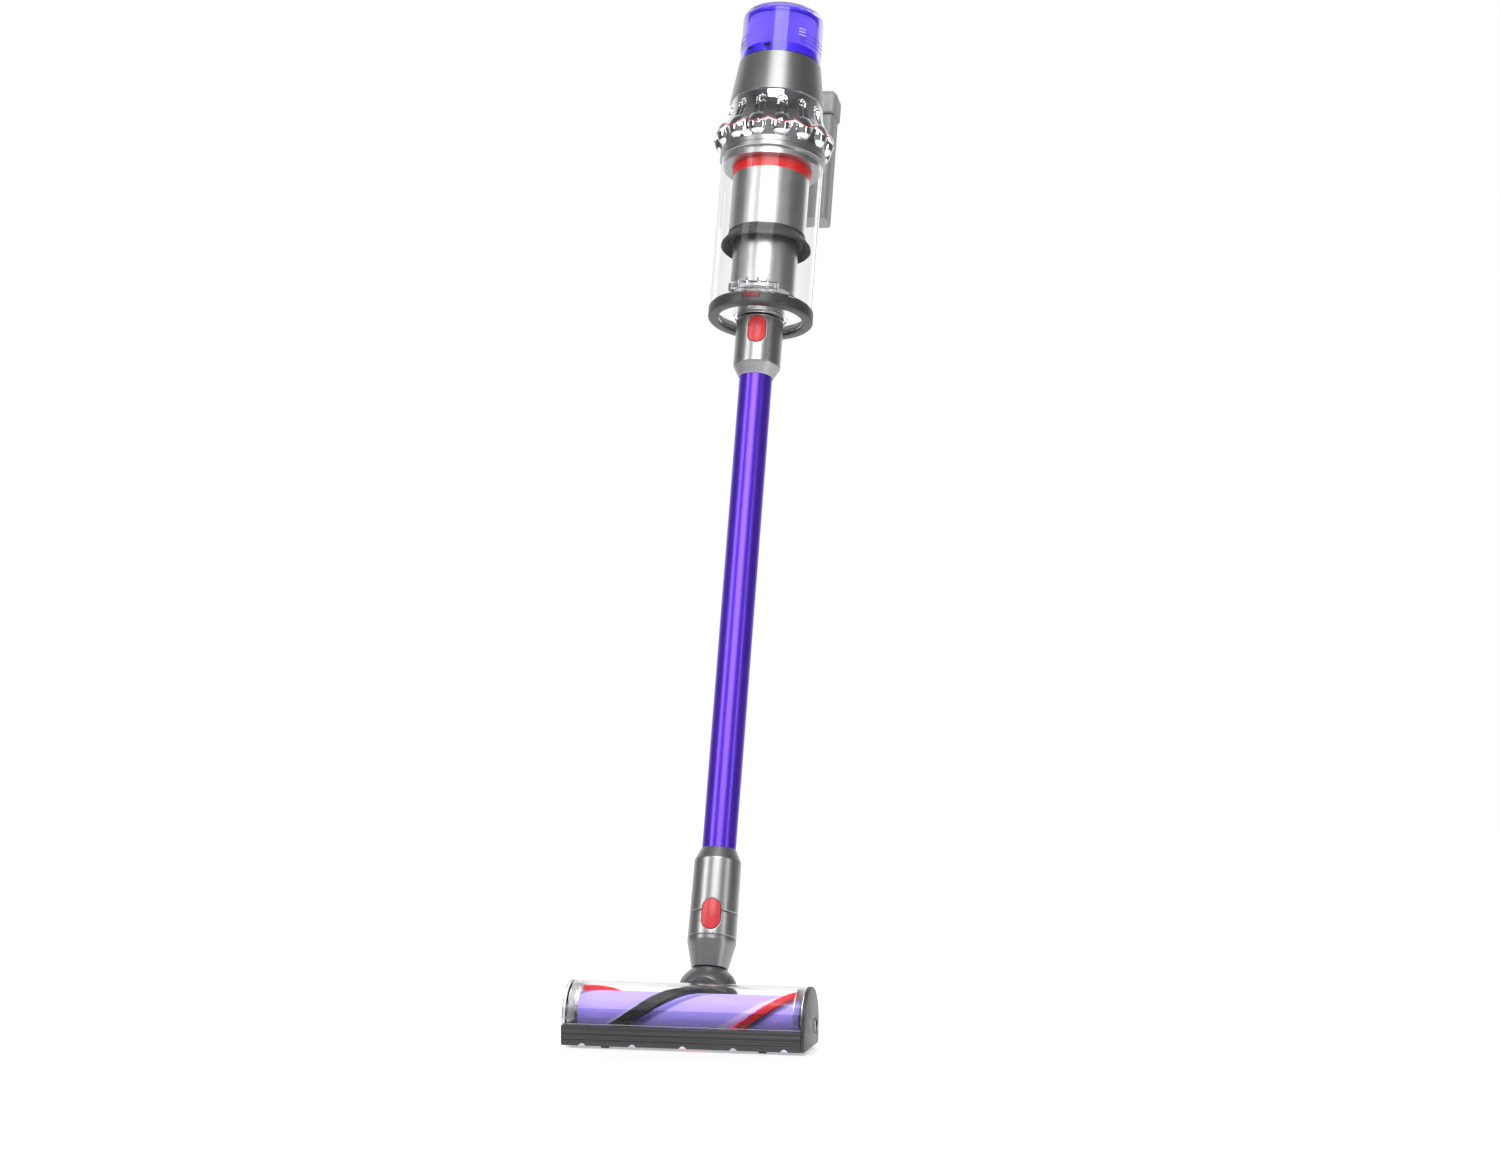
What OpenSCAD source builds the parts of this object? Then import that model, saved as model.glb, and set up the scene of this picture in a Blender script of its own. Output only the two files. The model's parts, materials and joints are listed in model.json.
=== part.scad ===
// Cordless stick vacuum cleaner: a leaning wand with a bin-and-cyclone unit
// at its top end and a powered roller head at its foot.
// +Z is up, +X runs along the head and the front of the machine faces -Y.
// The origin is on the floor, in the middle of the felt strip under the head.
// Parts of the leaning machine are drawn along their own axis and then tilted
// together: their z is the distance from the pivot in the head's yoke.

/* [Stance] */
// Lean of the wand back from upright, in degrees
lean = 20.5; // [5:0.5:40]
// Distance of the yoke's pivot behind the origin
pivot_y = 51; // [49:1:54]
// Height of the yoke's pivot over the floor
pivot_z = 41; // [40:1:44]

/* [Wand] */
// Outside diameter of the wand tube
wand_d = 35.6; // [34:0.1:36]
// Wall of the wand tube
wand_wall = 1.6; // [1:0.1:2.5]
// Where the violet tube comes out of the lower collar
wand_low = 153; // [130:1:180]
// Where the violet tube goes into the upper collar
wand_high = 678; // [600:1:690]

/* [Bin] */
// Outside diameter of the clear bin
bin_d = 112; // [112:0.5:114]
// Wall of the clear bin
bin_wall = 1.8; // [1.4:0.1:2]
// Underside of the bin base
base_low = 744; // [744:1:746]

/* [Cyclones] */
// Number of cyclone bowls round the crown
bowl_count = 14; // [8:1:15]
// Radius of one cyclone bowl
bowl_r = 13.5; // [11:0.1:14]
// Turn of the first bowl from the front of the machine
bowl_turn = 18.5; // [0:0.5:25]

/* [Head] */
// Width of the roller head
head_w = 250; // [230:1:300]
// Radius of the clear cover round the roller
cover_r = 37; // [36.6:0.1:37.4]
// Radius of the roller's tube
roller_r = 22.5; // [20:0.5:23]
// How far the fibres and bristles stand out of the tube
pile = 5.5; // [5:0.5:7]

/* [Hidden] */

$fn = 96;
gap = 0.3;       // running gap between pieces that move on each other
eps = 0.01;

wand_r = wand_d / 2;
bore_r = wand_r - wand_wall;
bin_r = bin_d / 2;
collar_r = 25.5;         // nickel collars at both ends of the wand

// heights along the machine's axis, from the pivot up
neck_low = 27;
swivel_z = 58;           // ring seam where the neck turns
sleeve_top = 84;         // seam between the neck sleeve and the wand's collar
wand_end_low = 122;      // hidden lower end of the tube
wand_end_high = 708;     // hidden upper end of the tube
bin_low = base_low + 13.3;
bin_high = base_low + 184.5;
skirt_low = base_low + 83.5;
shroud_low = base_low + 100;
shroud_high = base_low + 166;
flange_z = base_low + 209;
crown_top = base_low + 254.6;
cap_low = base_low + 302.6;
cap_top = base_low + 365;

// head, seen from its end: y and z of the roller's axis
roller_y = -28;
roller_z = 31;
cover_z = 26.7;
front_y = -68;
back_y = 8;
sole_z = 2.6;
half_w = head_w / 2;

module tilted() {
  translate([0, pivot_y, pivot_z]) rotate([-lean, 0, 0]) children();
}

module turned(outline) {
  rotate_extrude() polygon(outline);
}

module ring(outer, inner, low, high) {
  translate([0, 0, low]) difference() {
    cylinder(r = outer, h = high - low);
    translate([0, 0, -1]) cylinder(r = inner, h = high - low + 2);
  }
}

// a bar with round ends, lying on the XY plane with its long side along Y
module pill(width, length, height) {
  linear_extrude(height) union() {
    square([width, length - width], center = true);
    for (s = [-1, 1]) translate([0, s * (length - width) / 2]) circle(d = width);
  }
}

// a pill button's shape on the front of a collar, its face at front_r
module front_pill(width, length, z, front_r, back_r) {
  rotate([0, 0, button_turn]) translate([0, -back_r, z]) rotate([90, 0, 0])
    pill(width, length, front_r - back_r);
}

// ---------------------------------------------------------------- main unit

module motor_housing() {
  color("silver") tilted() turned([
    [49.6, crown_top + gap], [52, crown_top + gap], [45.4, cap_low - gap],
    [23.5, cap_low - gap], [23.5, cap_low - 3], [43, cap_low - 3]
  ]);
}

post_top = cap_top - 1;

module display_post() {
  color("dimgray") tilted() difference() {
    union() {
      ring(23.5, 20, cap_low - 3, cap_low - gap);
      ring(22, 20, cap_low - gap - eps, post_top);
      translate([0, 0, post_top - 5]) cylinder(r = 22, h = 5);
    }
    translate([0, 4, post_top - 1.8]) cylinder(r = 13.2, h = 3);
    translate([0, -14.8, post_top - 6]) cylinder(r = 3.6, h = 8);
  }
}

module display_glass() {
  color("black") tilted() translate([0, 4, post_top - 1.8]) cylinder(r = 13.1, h = 1.6);
}

module mode_button() {
  color("silver") tilted() translate([0, -14.8, 0]) {
    translate([0, 0, post_top - 9]) cylinder(r = 5, h = 2.8);
    translate([0, 0, post_top - 9]) cylinder(r = 3.3, h = 9.8);
  }
}

can_low = crown_top + 4;
can_high = cap_low - 8;

module motor_can() {
  color("gray") tilted() turned([
    [8, can_low], [32, can_low], [32, can_low + 16], [45.6, can_low + 16],
    [45.6, can_low + 20], [32, can_low + 20], [32, can_high], [8, can_high],
    [8, can_high - 4], [28, can_high - 4], [28, can_low + 4], [8, can_low + 4]
  ]);
}

shaft_r = 2.5;

module motor_bearings() {
  color("silver") tilted() {
    ring(8, shaft_r + 0.05, can_low, can_low + 4);
    ring(8, shaft_r + 0.05, can_high - 4, can_high);
  }
}

module circuit_board() {
  color("darkgreen") tilted() ring(38, 9, can_high + 1.5, can_high + 3.1);
}

blade_count = 9;

// shaft, magnet and impeller turn as one
module motor_rotor() {
  color("lightgray") tilted() {
    translate([0, 0, can_low - 16]) cylinder(r = shaft_r, h = can_high - can_low + 17);
    translate([0, 0, can_low + 8]) cylinder(r = 10, h = 20);
    difference() {
      union() {
        translate([0, 0, can_low - 15]) cylinder(r = 20, h = 2);
        translate([0, 0, can_low - 14]) cylinder(r1 = 9, r2 = 5, h = 10);
        for (i = [0 : blade_count - 1])
          rotate([0, 0, i * 360 / blade_count]) translate([6, -0.6, can_low - 14])
            cube([13, 1.2, 8]);
      }
      translate([0, 0, can_low - 16]) cylinder(r = shaft_r - 0.5, h = 20);
    }
  }
}

module cyclone_crown() {
  color("silver") tilted() union() {
    difference() {
      turned([
        [48.5, crown_top], [52, crown_top], [52.6, crown_top - 8.6],
        [54.4, crown_top - 18], [57.4, crown_top - 27], [61.4, crown_top - 36.5],
        [66.3, flange_z + 2], [66.3, flange_z + 0.6], [57, flange_z + 0.6],
        [53, crown_top - 32], [50, crown_top - 20]
      ]);
      for (i = [0 : bowl_count - 1])
        rotate([0, 0, bowl_turn + i * 360 / bowl_count])
          translate([0, -53.6, crown_top - 20]) rotate([76, 0, 0]) pill(9.5, 31, 12);
    }
    ring(49, 40, crown_top - 3, crown_top);
  }
}

module cyclone_trim() {
  color("red") tilted() ring(66.5, 52, flange_z, flange_z + 0.6);
}

module cyclone_bowls() {
  color("gainsboro") tilted() intersection() {
    union() {
      for (i = [0 : bowl_count - 1])
        rotate([0, 0, bowl_turn + i * 360 / bowl_count])
          translate([0, -52.8, flange_z + 1]) sphere(r = bowl_r);
      ring(57, 44.4, flange_z - 12.6, flange_z);
    }
    difference() {
      translate([0, 0, flange_z - 12.6]) cylinder(r = 80, h = 12.6);
      translate([0, 0, flange_z - 13]) cylinder(r = 44.4, h = 14);
    }
  }
}

// the hidden cones that fine dust spins down, in a ring inside the crown
module cyclone_cones() {
  color("gray") tilted() for (i = [0 : bowl_count - 1])
    rotate([0, 0, i * 360 / bowl_count]) translate([0, -35, flange_z - 30]) difference() {
      cylinder(r1 = 3.5, r2 = 7, h = 50);
      translate([0, 0, -1]) cylinder(r1 = 2.4, r2 = 6, h = 52);
    }
}

module bin_collar() {
  color("darkgray") tilted() union() {
    collar_body();
    // rails of the release slider
    difference() {
      rotate([0, 0, release_turn]) for (x = [-10.4, 8.4])
        translate([x, -62, flange_z - 22]) cube([2, 10, 9]);
      cylinder(r = 55, h = 2000);
    }
  }
}

module collar_body() {
  turned([
    [58, flange_z - 12.8], [58, flange_z - 18.4], [57.2, flange_z - 18.8],
    [57.2, flange_z - 20], [58, flange_z - 20.4], [58, bin_high + gap + 0.6],
    [57.4, bin_high + gap], [53.8, bin_high + gap], [53.8, shroud_high + 11],
    [44, shroud_high + 11], [44, shroud_high + 14], [50, shroud_high + 17],
    [50, flange_z - 12.8]
  ]);
}

module collar_seal() {
  color("red") tilted() turned([
    [40, shroud_high], [42.3, shroud_high], [43.9, shroud_high + 11],
    [43.9, shroud_high + 14], [40, shroud_high + 14]
  ]);
}

module shroud() {
  color("silver") tilted() ring(42, 40.8, shroud_low, shroud_high - eps);
}

module shroud_skirt() {
  color("black") tilted() turned([
    [36, shroud_low], [42.2, shroud_low], [42.2, shroud_low - 3.5], [48.6, skirt_low + 4],
    [49.2, skirt_low + 0.8], [48.4, skirt_low], [47, skirt_low + 0.6],
    [40, shroud_low - 9], [36, shroud_low - 9]
  ]);
}

core_low = base_low + 25;

module inner_core() {
  color("gray") tilted() turned([
    [35.6, core_low + 3], [35.6, shroud_low], [33.6, shroud_low],
    [33.6, core_low + 5], [duct_r, core_low + 2], [duct_r, base_low + 2],
    [24.4, base_low + 2], [25.4, base_low + 4], [25.4, core_low - 4], [29, core_low]
  ]);
}

duct_r = wand_r - 0.4;
duct_low = wand_end_high + 2;

module inlet_duct() {
  color("dimgray") tilted() ring(duct_r, bore_r, duct_low, shroud_low + 30);
}

grip_low = [0, 56, crown_top - 2];
grip_high = [0, 174, cap_low + 30.9];
foot_front = 165;
foot_back = 202;
foot_low = base_low + 324;
foot_high = base_low + 353;
trigger_y = 82;
trigger_low = crown_top - 16;

module grip_bar() {
  hull() {
    translate(grip_low) rotate([0, 90, 0]) cylinder(r = 17, h = 27, center = true, $fn = 32);
    translate(grip_high) rotate([0, 90, 0]) cylinder(r = 13.4, h = 27, center = true, $fn = 32);
    translate([0, 117, crown_top + 33]) sphere(r = 18.5, $fn = 32);
  }
}

module handle() {
  color("lightgray") tilted() difference() {
    union() {
      grip_bar();
      // saddle on the back of the motor housing
      intersection() {
        translate([-19, 40, crown_top - 26]) cube([38, 20, 50]);
        ring(62, 53.4, crown_top - 30, crown_top + 30);
      }
      // foot that the battery slides up under
      hull() {
        for (x = [-25, 25]) for (y = [foot_front + 6, foot_back - 6])
          translate([x, y, foot_low]) cylinder(r = 6, h = foot_high - foot_low - 5, $fn = 32);
        translate([-26, foot_front + 5, foot_high - 1]) cube([52, foot_back - foot_front - 10, 1]);
      }
    }
    // clearance round the crown, the motor housing and the filter
    turned([
      [0, flange_z - 5], [68, flange_z - 5], [66.6, flange_z + 2], [61.7, crown_top - 36.4],
      [57.7, crown_top - 26.9], [54.7, crown_top - 17.9], [52.9, crown_top - 8.5],
      [52.3, crown_top], [45.7, cap_low - gap], [46.2, cap_low], [46.2, cap_top + 20],
      [0, cap_top + 20]
    ]);
    // the battery's place under the foot
    translate([-40, battery_front - 1.5, foot_low - 100]) cube([80, 60, 100]);
    // trigger pocket
    translate([-6.5, trigger_y - 10.5, trigger_low - 20]) cube([13, 21, 50]);
    // pocket for the battery's contact block
    translate([-14, foot_front + 9, foot_low - 1]) cube([28, 20, 11]);
  }
}

module battery_contacts() {
  color("gold") tilted() for (x = [-9, -3, 3, 9])
    translate([x - 1, foot_front + 15, foot_low + 2]) cube([2, 8, 8]);
}

trigger_top = trigger_low + 20;

module trigger() {
  color("crimson") tilted() intersection() {
    translate([-6, trigger_y - 10, trigger_low]) cube([12, 20, 20]);
    translate([0, trigger_y + 4, trigger_low + 24]) rotate([0, 90, 0])
      cylinder(r = 25, h = 12, center = true);
  }
}

module trigger_spring() {
  color("silver") tilted() translate([0, trigger_y, 0]) ring(4, 3, trigger_top, trigger_low + 30);
}

release_turn = 140;

module bin_release() {
  color("crimson") tilted() rotate([0, 0, release_turn]) translate([-8, -63, flange_z - 26])
    cube([16, 4.6, 12]);
}

// ------------------------------------------------------------------- filter

module filter_seal() {
  color("black") tilted() ring(42, 39, cap_low, cap_low + 2);
}

cap_r = 44.5;

module filter_cap() {
  color("mediumpurple", 0.5) tilted() union() {
    turned([
      [42.4, cap_low + 0.2], [44.9, cap_low], [cap_r, cap_low + 4], [cap_r, cap_top - 9],
      [43.8, cap_top - 5.6], [41.9, cap_top - 2.6], [39, cap_top - 0.8], [35.5, cap_top],
      [23.6, cap_top], [23.6, cap_top - 4.2], [25, cap_top - 4.2], [25, cap_top - 2],
      [35.4, cap_top - 2], [38.4, cap_top - 3], [40.8, cap_top - 5], [42.4, cap_top - 9]
    ]);
    // moulded grip lines on both sides
    for (side = [-1, 1]) for (k = [0 : 2])
      rotate([0, 0, -90 + side * 70 - 25]) rotate_extrude(angle = 50)
        translate([cap_r - 0.5, cap_low + 14.5 + 5 * k]) square([1.3, 1.8]);
  }
}

module filter_frame() {
  color("blueviolet") tilted() {
    ring(39.6, 25.4, cap_low + 2.4, cap_low + 13.4);
    ring(39.2, 25.4, cap_top - 9.8, cap_top - 5.2);
    ring(34, 25.4, cap_top - 5.3, cap_top - 2);
  }
}

module filter_media() {
  color("mediumpurple") tilted() ring(38.4, 28, cap_low + 13.4, cap_top - 9.8);
}

// ---------------------------------------------------------------------- bin

module clear_bin() {
  color("white", 0.25) tilted() union() {
    ring(bin_r, bin_r - bin_wall, bin_low, bin_high);
    // lugs that hold the hinge pin of the base
    difference() {
      for (x = [-22, 14]) union() {
        translate([x, hinge_y, hinge_z]) rotate([0, 90, 0]) cylinder(r = 3.4, h = 8);
        translate([x, 50, hinge_z]) cube([8, hinge_y - 50, 12]);
        translate([x, hinge_y - 1, hinge_z]) cube([8, 4.4, 6]);
      }
      translate([-30, hinge_y, hinge_z]) rotate([0, 90, 0]) cylinder(r = 1.6, h = 60);
      translate([0, 0, bin_low - 30]) cylinder(r = 57.3, h = 30);
      cylinder(r = bin_r - bin_wall / 2, h = 2000);
    }
  }
}

hinge_y = 60.6;
hinge_z = base_low + 8;

// clear box behind the front wall that guides the base's catch
module latch_housing() {
  color("white", 0.4) tilted() intersection() {
    difference() {
      union() {
        translate([-27, -54, bin_low + 4]) cube([54, 9, 9]);
        for (x = [-16, -7, 5, 14]) translate([x, -54, bin_low + 2.6]) cube([2, 11, 14]);
      }
      translate([-24, -52, bin_low + 6]) cube([48, 5, 5]);
    }
    cylinder(r = bin_r - bin_wall, h = 2000);
  }
}

module base_pin() {
  color("silver") tilted() translate([-22, hinge_y, hinge_z]) rotate([0, 90, 0])
    cylinder(r = 1.6, h = 44);
}

module base_ring() {
  color("dimgray") tilted() union() {
    difference() {
      turned([
        [46, base_low + 1], [47, base_low], [55.4, base_low], [57, base_low + 1.6],
        [57, base_low + 12], [56, base_low + 13], [50.5, base_low + 13],
        [50.5, base_low + 7], [46, base_low + 5]
      ]);
      // seat of the catch
      translate([-9.3, -60, base_low + 6.6]) cube([18.6, 14, 10]);
    }
    // knuckle on the hinge pin
    difference() {
      union() {
        translate([-13.6, hinge_y, hinge_z]) rotate([0, 90, 0]) cylinder(r = 3.4, h = 27.2);
        translate([-13.6, 54, base_low + 2]) cube([27.2, 6.6, 6]);
      }
      translate([-20, hinge_y, hinge_z]) rotate([0, 90, 0]) cylinder(r = 1.65, h = 40);
      translate([0, 0, base_low - 1]) cylinder(r = 54, h = 20);
    }
  }
}

window_in = 28;

module base_window() {
  color("white", 0.3) tilted() turned([
    [window_in, base_low + 0.6], [window_in + 1.8, base_low + 0.6],
    [window_in + 1.8, base_low + 3], [46, base_low + 3], [46, base_low + 5],
    [46, base_low + 5.4], [window_in + 1.8, base_low + 5.4],
    [window_in + 1.8, base_low + 12], [window_in, base_low + 12]
  ]);
}

module base_seal() {
  color("black") tilted() ring(53.6, 50.6, base_low + 13, base_low + 15);
}

module base_catch() {
  color("crimson") tilted() difference() {
    union() {
      translate([-8.8, -55.6, base_low + 7]) cube([17.6, 23, 3]);
      translate([-8.8, -55.6, base_low + 7]) cube([17.6, 3, 5.4]);
    }
    cylinder(r = window_in + 4.2, h = 2000);
  }
}

// ------------------------------------------------------------------ battery

battery_front = 168;
battery_back = 200;
battery_low = base_low + 194;
cell_r = 9.1;
cell_pitch = 18.6;
cell_h = 61;

module battery_case() {
  color("lightgray") tilted() difference() {
    union() {
      hull() for (x = [-23, 23]) for (y = [battery_front + 6, battery_back - 6])
        translate([x, y, battery_low]) cylinder(r = 6, h = foot_low - gap - battery_low, $fn = 32);
      // contact block that goes up into the handle's foot
      translate([-13, foot_front + 10, foot_low - 1]) cube([26, 18, 2.5]);
      // cheeks on both sides of the catch
      for (x = [-10.6, 8.6]) translate([x, battery_front - 4, battery_low]) cube([2, 5, 14]);
    }
    // bays for the cells
    for (x = [-1, 0, 1]) for (z = [0, 1])
      translate([x * cell_pitch, 184, battery_low + 2.5 + z * (cell_h + 1.6)])
        cylinder(r = cell_r + 0.1, h = cell_h + 0.4);
  }
}

module battery_cells() {
  color("royalblue") tilted() for (x = [-1, 0, 1]) for (z = [0, 1])
    translate([x * cell_pitch, 184, battery_low + 2.6 + z * (cell_h + 1.6)])
      cylinder(r = cell_r, h = cell_h);
}

module battery_catch() {
  color("crimson") tilted() translate([-8, battery_front - 5.4, battery_low - 14])
    cube([16, 5, 24]);
}

// --------------------------------------------------------------------- wand

button_w = 19;
button_turn = 5.5;
upper_button_l = 30;
lower_button_l = 31.5;
upper_button_z = base_low - 17.5;
lower_button_z = 79.4;

module upper_collar() {
  color("silver") tilted() difference() {
    turned([
      [wand_r, wand_high], [wand_r + 0.7, wand_high], [collar_r, wand_high + 12.6],
      [collar_r, base_low - 1.2], [collar_r - 0.8, base_low - gap], [wand_r, base_low - gap]
    ]);
    front_pill(button_w + 0.5, upper_button_l + 0.5, upper_button_z, collar_r + 4, 19.6);
  }
}

module upper_button() {
  color("red") tilted() intersection() {
    front_pill(button_w, upper_button_l, upper_button_z, collar_r + 4, 22.2);
    cylinder(r = collar_r + 0.9, h = 2000);
  }
}

module wand_tube() {
  color("indigo") tilted() ring(wand_r, bore_r, wand_end_low, wand_end_high);
}

module lower_collar() {
  color("silver") tilted() difference() {
    turned([
      [wand_r, sleeve_top], [25.2, sleeve_top], [24.6, wand_low - 13],
      [wand_r + 0.8, wand_low], [wand_r, wand_low]
    ]);
    // notch that lets the neck's button come out of the end
    front_pill(button_w + 0.6, lower_button_l + 0.6, lower_button_z, collar_r + 4, 19.6);
  }
}

// --------------------------------------------------------------------- neck

module neck_sleeve() {
  color("silver") tilted() difference() {
    turned([
      [21, swivel_z + gap], [25.5, swivel_z + gap], [25.2, sleeve_top - gap],
      [wand_r - gap, sleeve_top - gap], [wand_r - gap, wand_end_low - 2],
      [bore_r, wand_end_low - 2], [bore_r, swivel_z + 6], [21, swivel_z + 6]
    ]);
    front_pill(button_w + 0.5, lower_button_l + 0.5, lower_button_z, collar_r + 4, 19.6);
  }
}

module lower_button() {
  color("red") tilted() intersection() {
    front_pill(button_w, lower_button_l, lower_button_z, collar_r + 4, 22.2);
    cylinder(r = collar_r + 0.9, h = 2000);
  }
}

module neck() {
  color("dimgray") tilted() turned([
    [14.5, neck_low], [19.2, neck_low], [24.9, swivel_z - 7], [25.4, swivel_z - 4],
    [25.4, swivel_z], [20.7, swivel_z], [20.7, swivel_z + 5.6], [bore_r, swivel_z + 5.6],
    [bore_r, swivel_z - 6]
  ]);
}

ball_r = 31.4;
ball_half = 24;
cheek_in = 24.4;
pin_r = 5;

module elbow() {
  color("gray") difference() {
    translate([0, pivot_y, pivot_z]) intersection() {
      sphere(r = ball_r);
      cube([2 * ball_half, 80, 80], center = true);
    }
    // room for the neck, the pivot pins and the air's way through
    tilted() translate([0, 0, neck_low]) cylinder(r = 40, h = 40);
    tilted() translate([0, 0, -6]) cylinder(r = 14.5, h = 60);
    translate([0, pivot_y - 60, pivot_z]) rotate([-90, 0, 0]) cylinder(r = 15, h = 64);
    for (s = [-1, 1]) translate([s * 19, pivot_y, pivot_z]) rotate([0, 90, 0])
      cylinder(r = pin_r, h = 20, center = true);
  }
}

module pivot_pins() {
  color("silver") for (s = [-1, 1])
    translate([s * 22.5, pivot_y, pivot_z]) rotate([0, 90, 0])
      cylinder(r = pin_r, h = 13, center = true);
}

// --------------------------------------------------------------------- head

// runs an outline drawn in y and z along the head, from one x to another
module along_head(from, to) {
  translate([from, 0, 0]) rotate([90, 0, 90]) linear_extrude(to - from) children();
}

module end_outline() {
  intersection() {
    translate([front_y, sole_z]) square(90);
    side_outline();
  }
}

module side_outline() {
  union() {
    translate([roller_y, cover_z]) circle(r = cover_r);
    polygon([
      [front_y + 2, sole_z], [back_y - 3, sole_z], [back_y, sole_z + 4], [back_y, 30],
      [back_y - 2, 34], [roller_y, 40], [front_y + 5.8, 23.4], [front_y + 0.6, 22.8],
      [front_y, 21.6], [front_y, sole_z + 3.4]
    ]);
  }
}

mouth_front = -50;
mouth_back = -6;
side_x = half_w - 3.5;   // where the body ends and the removable end cap starts

module head_shell() {
  color("dimgray") difference() {
    union() {
      // rear beam behind the mouth
      along_head(-half_w, side_x) polygon([
        [mouth_back, sole_z], [back_y - 3, sole_z], [back_y, sole_z + 4], [back_y, 30],
        [back_y - 2, 34], [3, 34], [mouth_back + 9, 24], [mouth_back + 8.8, 18],
        [mouth_back + 2.4, 9], [mouth_back, 6]
      ]);
      // sides of the mouth
      for (x = [-half_w, side_x - 7]) along_head(x, x + 7)
        polygon([[mouth_front, sole_z], [mouth_back, sole_z], [mouth_back, 6], [mouth_front, 6]]);
      // left end wall
      along_head(-half_w, -half_w + 7) polygon([
        [mouth_front, sole_z], [mouth_front, 6], [front_y + 9.4, 13], [front_y + 7.8, 20],
        [front_y + 6, 23.2], [back_y - 3, 23.2], [back_y - 3, sole_z]
      ]);
      // yoke: two cheeks with arms to the beam and feet for the wheels
      for (s = [-1, 1]) intersection() {
        union() {
          translate([0, pivot_y, pivot_z]) sphere(r = ball_r + 0.2);
          translate([s * 28.2 - 3.8, back_y - 1, 20]) cube([7.6, pivot_y - back_y - 6, 22]);
          translate([s * 28.2 - 3.8, wheel_y, wheel_r]) rotate([0, 90, 0]) cylinder(r = 9, h = 7.6);
        }
        translate([s > 0 ? cheek_in : -cheek_in - 7.6, -40, 0]) cube([7.6, 200, 100]);
      }
      // round throat from the roller chamber to the elbow
      translate([0, back_y - 1, pivot_z]) rotate([-90, 0, 0]) cylinder(r = 21.5, h = 30);
      translate([-60, back_y - 4, 14]) cube([120, 6, 21]);
    }
    translate([0, -10, pivot_z]) rotate([-90, 0, 0]) cylinder(r = 17, h = 60);
    translate([0, pivot_y, pivot_z]) intersection() {
      sphere(r = ball_r + 0.4);
      cube([2 * cheek_in - 0.2, 90, 90], center = true);
    }
    translate([3 - half_w, roller_y, cover_z]) rotate([0, 90, 0])
      cylinder(r = cover_r, h = 2 * half_w);
    // the clear cover's own end wall stands on this one
    translate([-half_w - 1, roller_y, 23.3]) cube([8, 60, 60]);
    for (s = [-1, 1]) translate([s * 28, pivot_y, pivot_z]) rotate([0, 90, 0])
      cylinder(r = pin_r + 0.05, h = 20, center = true);
    for (s = [-1, 1]) translate([s * 30, wheel_y, wheel_r]) rotate([0, 90, 0])
      cylinder(r = 2, h = 20, center = true);
  }
}

notch_pitch = 52;

module front_strip() {
  color("dimgray") difference() {
    along_head(-half_w, side_x) polygon([
      [front_y + 5.8, 23], [front_y + 0.6, 22.8], [front_y, 21.6], [front_y, 15.4],
      [front_y + 0.7, 15], [front_y + 0.7, 14.4], [front_y, 14], [front_y, 9.4],
      [front_y + 0.6, 9], [front_y + 0.6, 8.4], [front_y, 8], [front_y, sole_z + 3.4],
      [front_y + 2, sole_z], [mouth_front, sole_z], [mouth_front, 6],
      [front_y + 9.4, 13], [front_y + 7.8, 20]
    ]);
    // air notches under the lip
    for (i = [-2 : 2]) translate([i * notch_pitch, front_y - 1, sole_z - 1.2])
      rotate([-90, 0, 0]) cylinder(r = 4.2, h = 22);
    // seats of the small front rollers
    for (s = [-1, 1]) translate([s * front_roller_x, front_roller_y, front_roller_r])
      rotate([0, 90, 0]) cylinder(r = front_roller_r + 1, h = 8.4, center = true);
    for (s = [-1, 1]) translate([s * front_roller_x, front_roller_y, front_roller_r])
      rotate([0, 90, 0]) cylinder(r = 1.05, h = 14, center = true);
  }
}

rib_w = 1.6;

module clear_cover() {
  color("white", 0.3) translate([0, roller_y, cover_z]) rotate([0, 90, 0]) {
    difference() {
      union() {
        translate([0, 0, -half_w + 3]) cylinder(r = cover_r, h = side_x + half_w - 3);
        for (x = [-half_w, -half_w + 5.6, -half_w + 11, side_x - 8.7, side_x - rib_w])
          translate([0, 0, x]) cylinder(r = cover_r, h = rib_w);
        translate([0, 0, -half_w]) cylinder(r = cover_r - 0.8, h = 10);
      }
      translate([0, 0, -half_w + 5]) cylinder(r = cover_r - 2, h = head_w);
      translate([0, 0, -half_w - 1]) cylinder(r = cover_r - 2, h = 4);
      // open below the front lip and behind the roller
      translate([cover_z - 23.5, -60, -200]) cube([80, 60, 400]);
      translate([cover_z - 34.2, 0, -200]) cube([90, 60, 400]);
      translate([cover_z - roller_z, 0, -200]) cylinder(r = 7, h = 400);
    }
  }
}

module sole_felt() {
  color("black") translate([-100, -3, 0]) cube([200, 6, sole_z]);
}

module drive_motor() {
  color("gray") translate([0, roller_y, roller_z]) rotate([0, 90, 0]) {
    translate([0, 0, -half_w + 2]) cylinder(r = 6.8, h = 22);
    translate([0, 0, -half_w + 17]) cylinder(r = 15, h = 78);
  }
}

front_roller_x = 81;
front_roller_y = -59;
front_roller_r = 4;
wheel_r = 12;
wheel_y = 51;

module front_roller(x) {
  color("black") translate([x, front_roller_y, front_roller_r]) rotate([0, 90, 0]) {
    cylinder(r = front_roller_r, h = 7.4, center = true);
    cylinder(r = 1, h = 12, center = true);
  }
}
module front_roller_left() { front_roller(-front_roller_x); }
module front_roller_right() { front_roller(front_roller_x); }

module rear_wheel(s) {
  color("dimgray") translate([s * 36.8, wheel_y, wheel_r]) rotate([0, 90, 0]) {
    cylinder(r = wheel_r, h = 8.8, center = true);
    translate([0, 0, -s * 7]) cylinder(r = 1.95, h = 8, center = true);
  }
}
module rear_wheel_left() { rear_wheel(-1); }
module rear_wheel_right() { rear_wheel(1); }

lock_r = 7.5;
lock_y = -9;
lock_z = 22;

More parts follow.
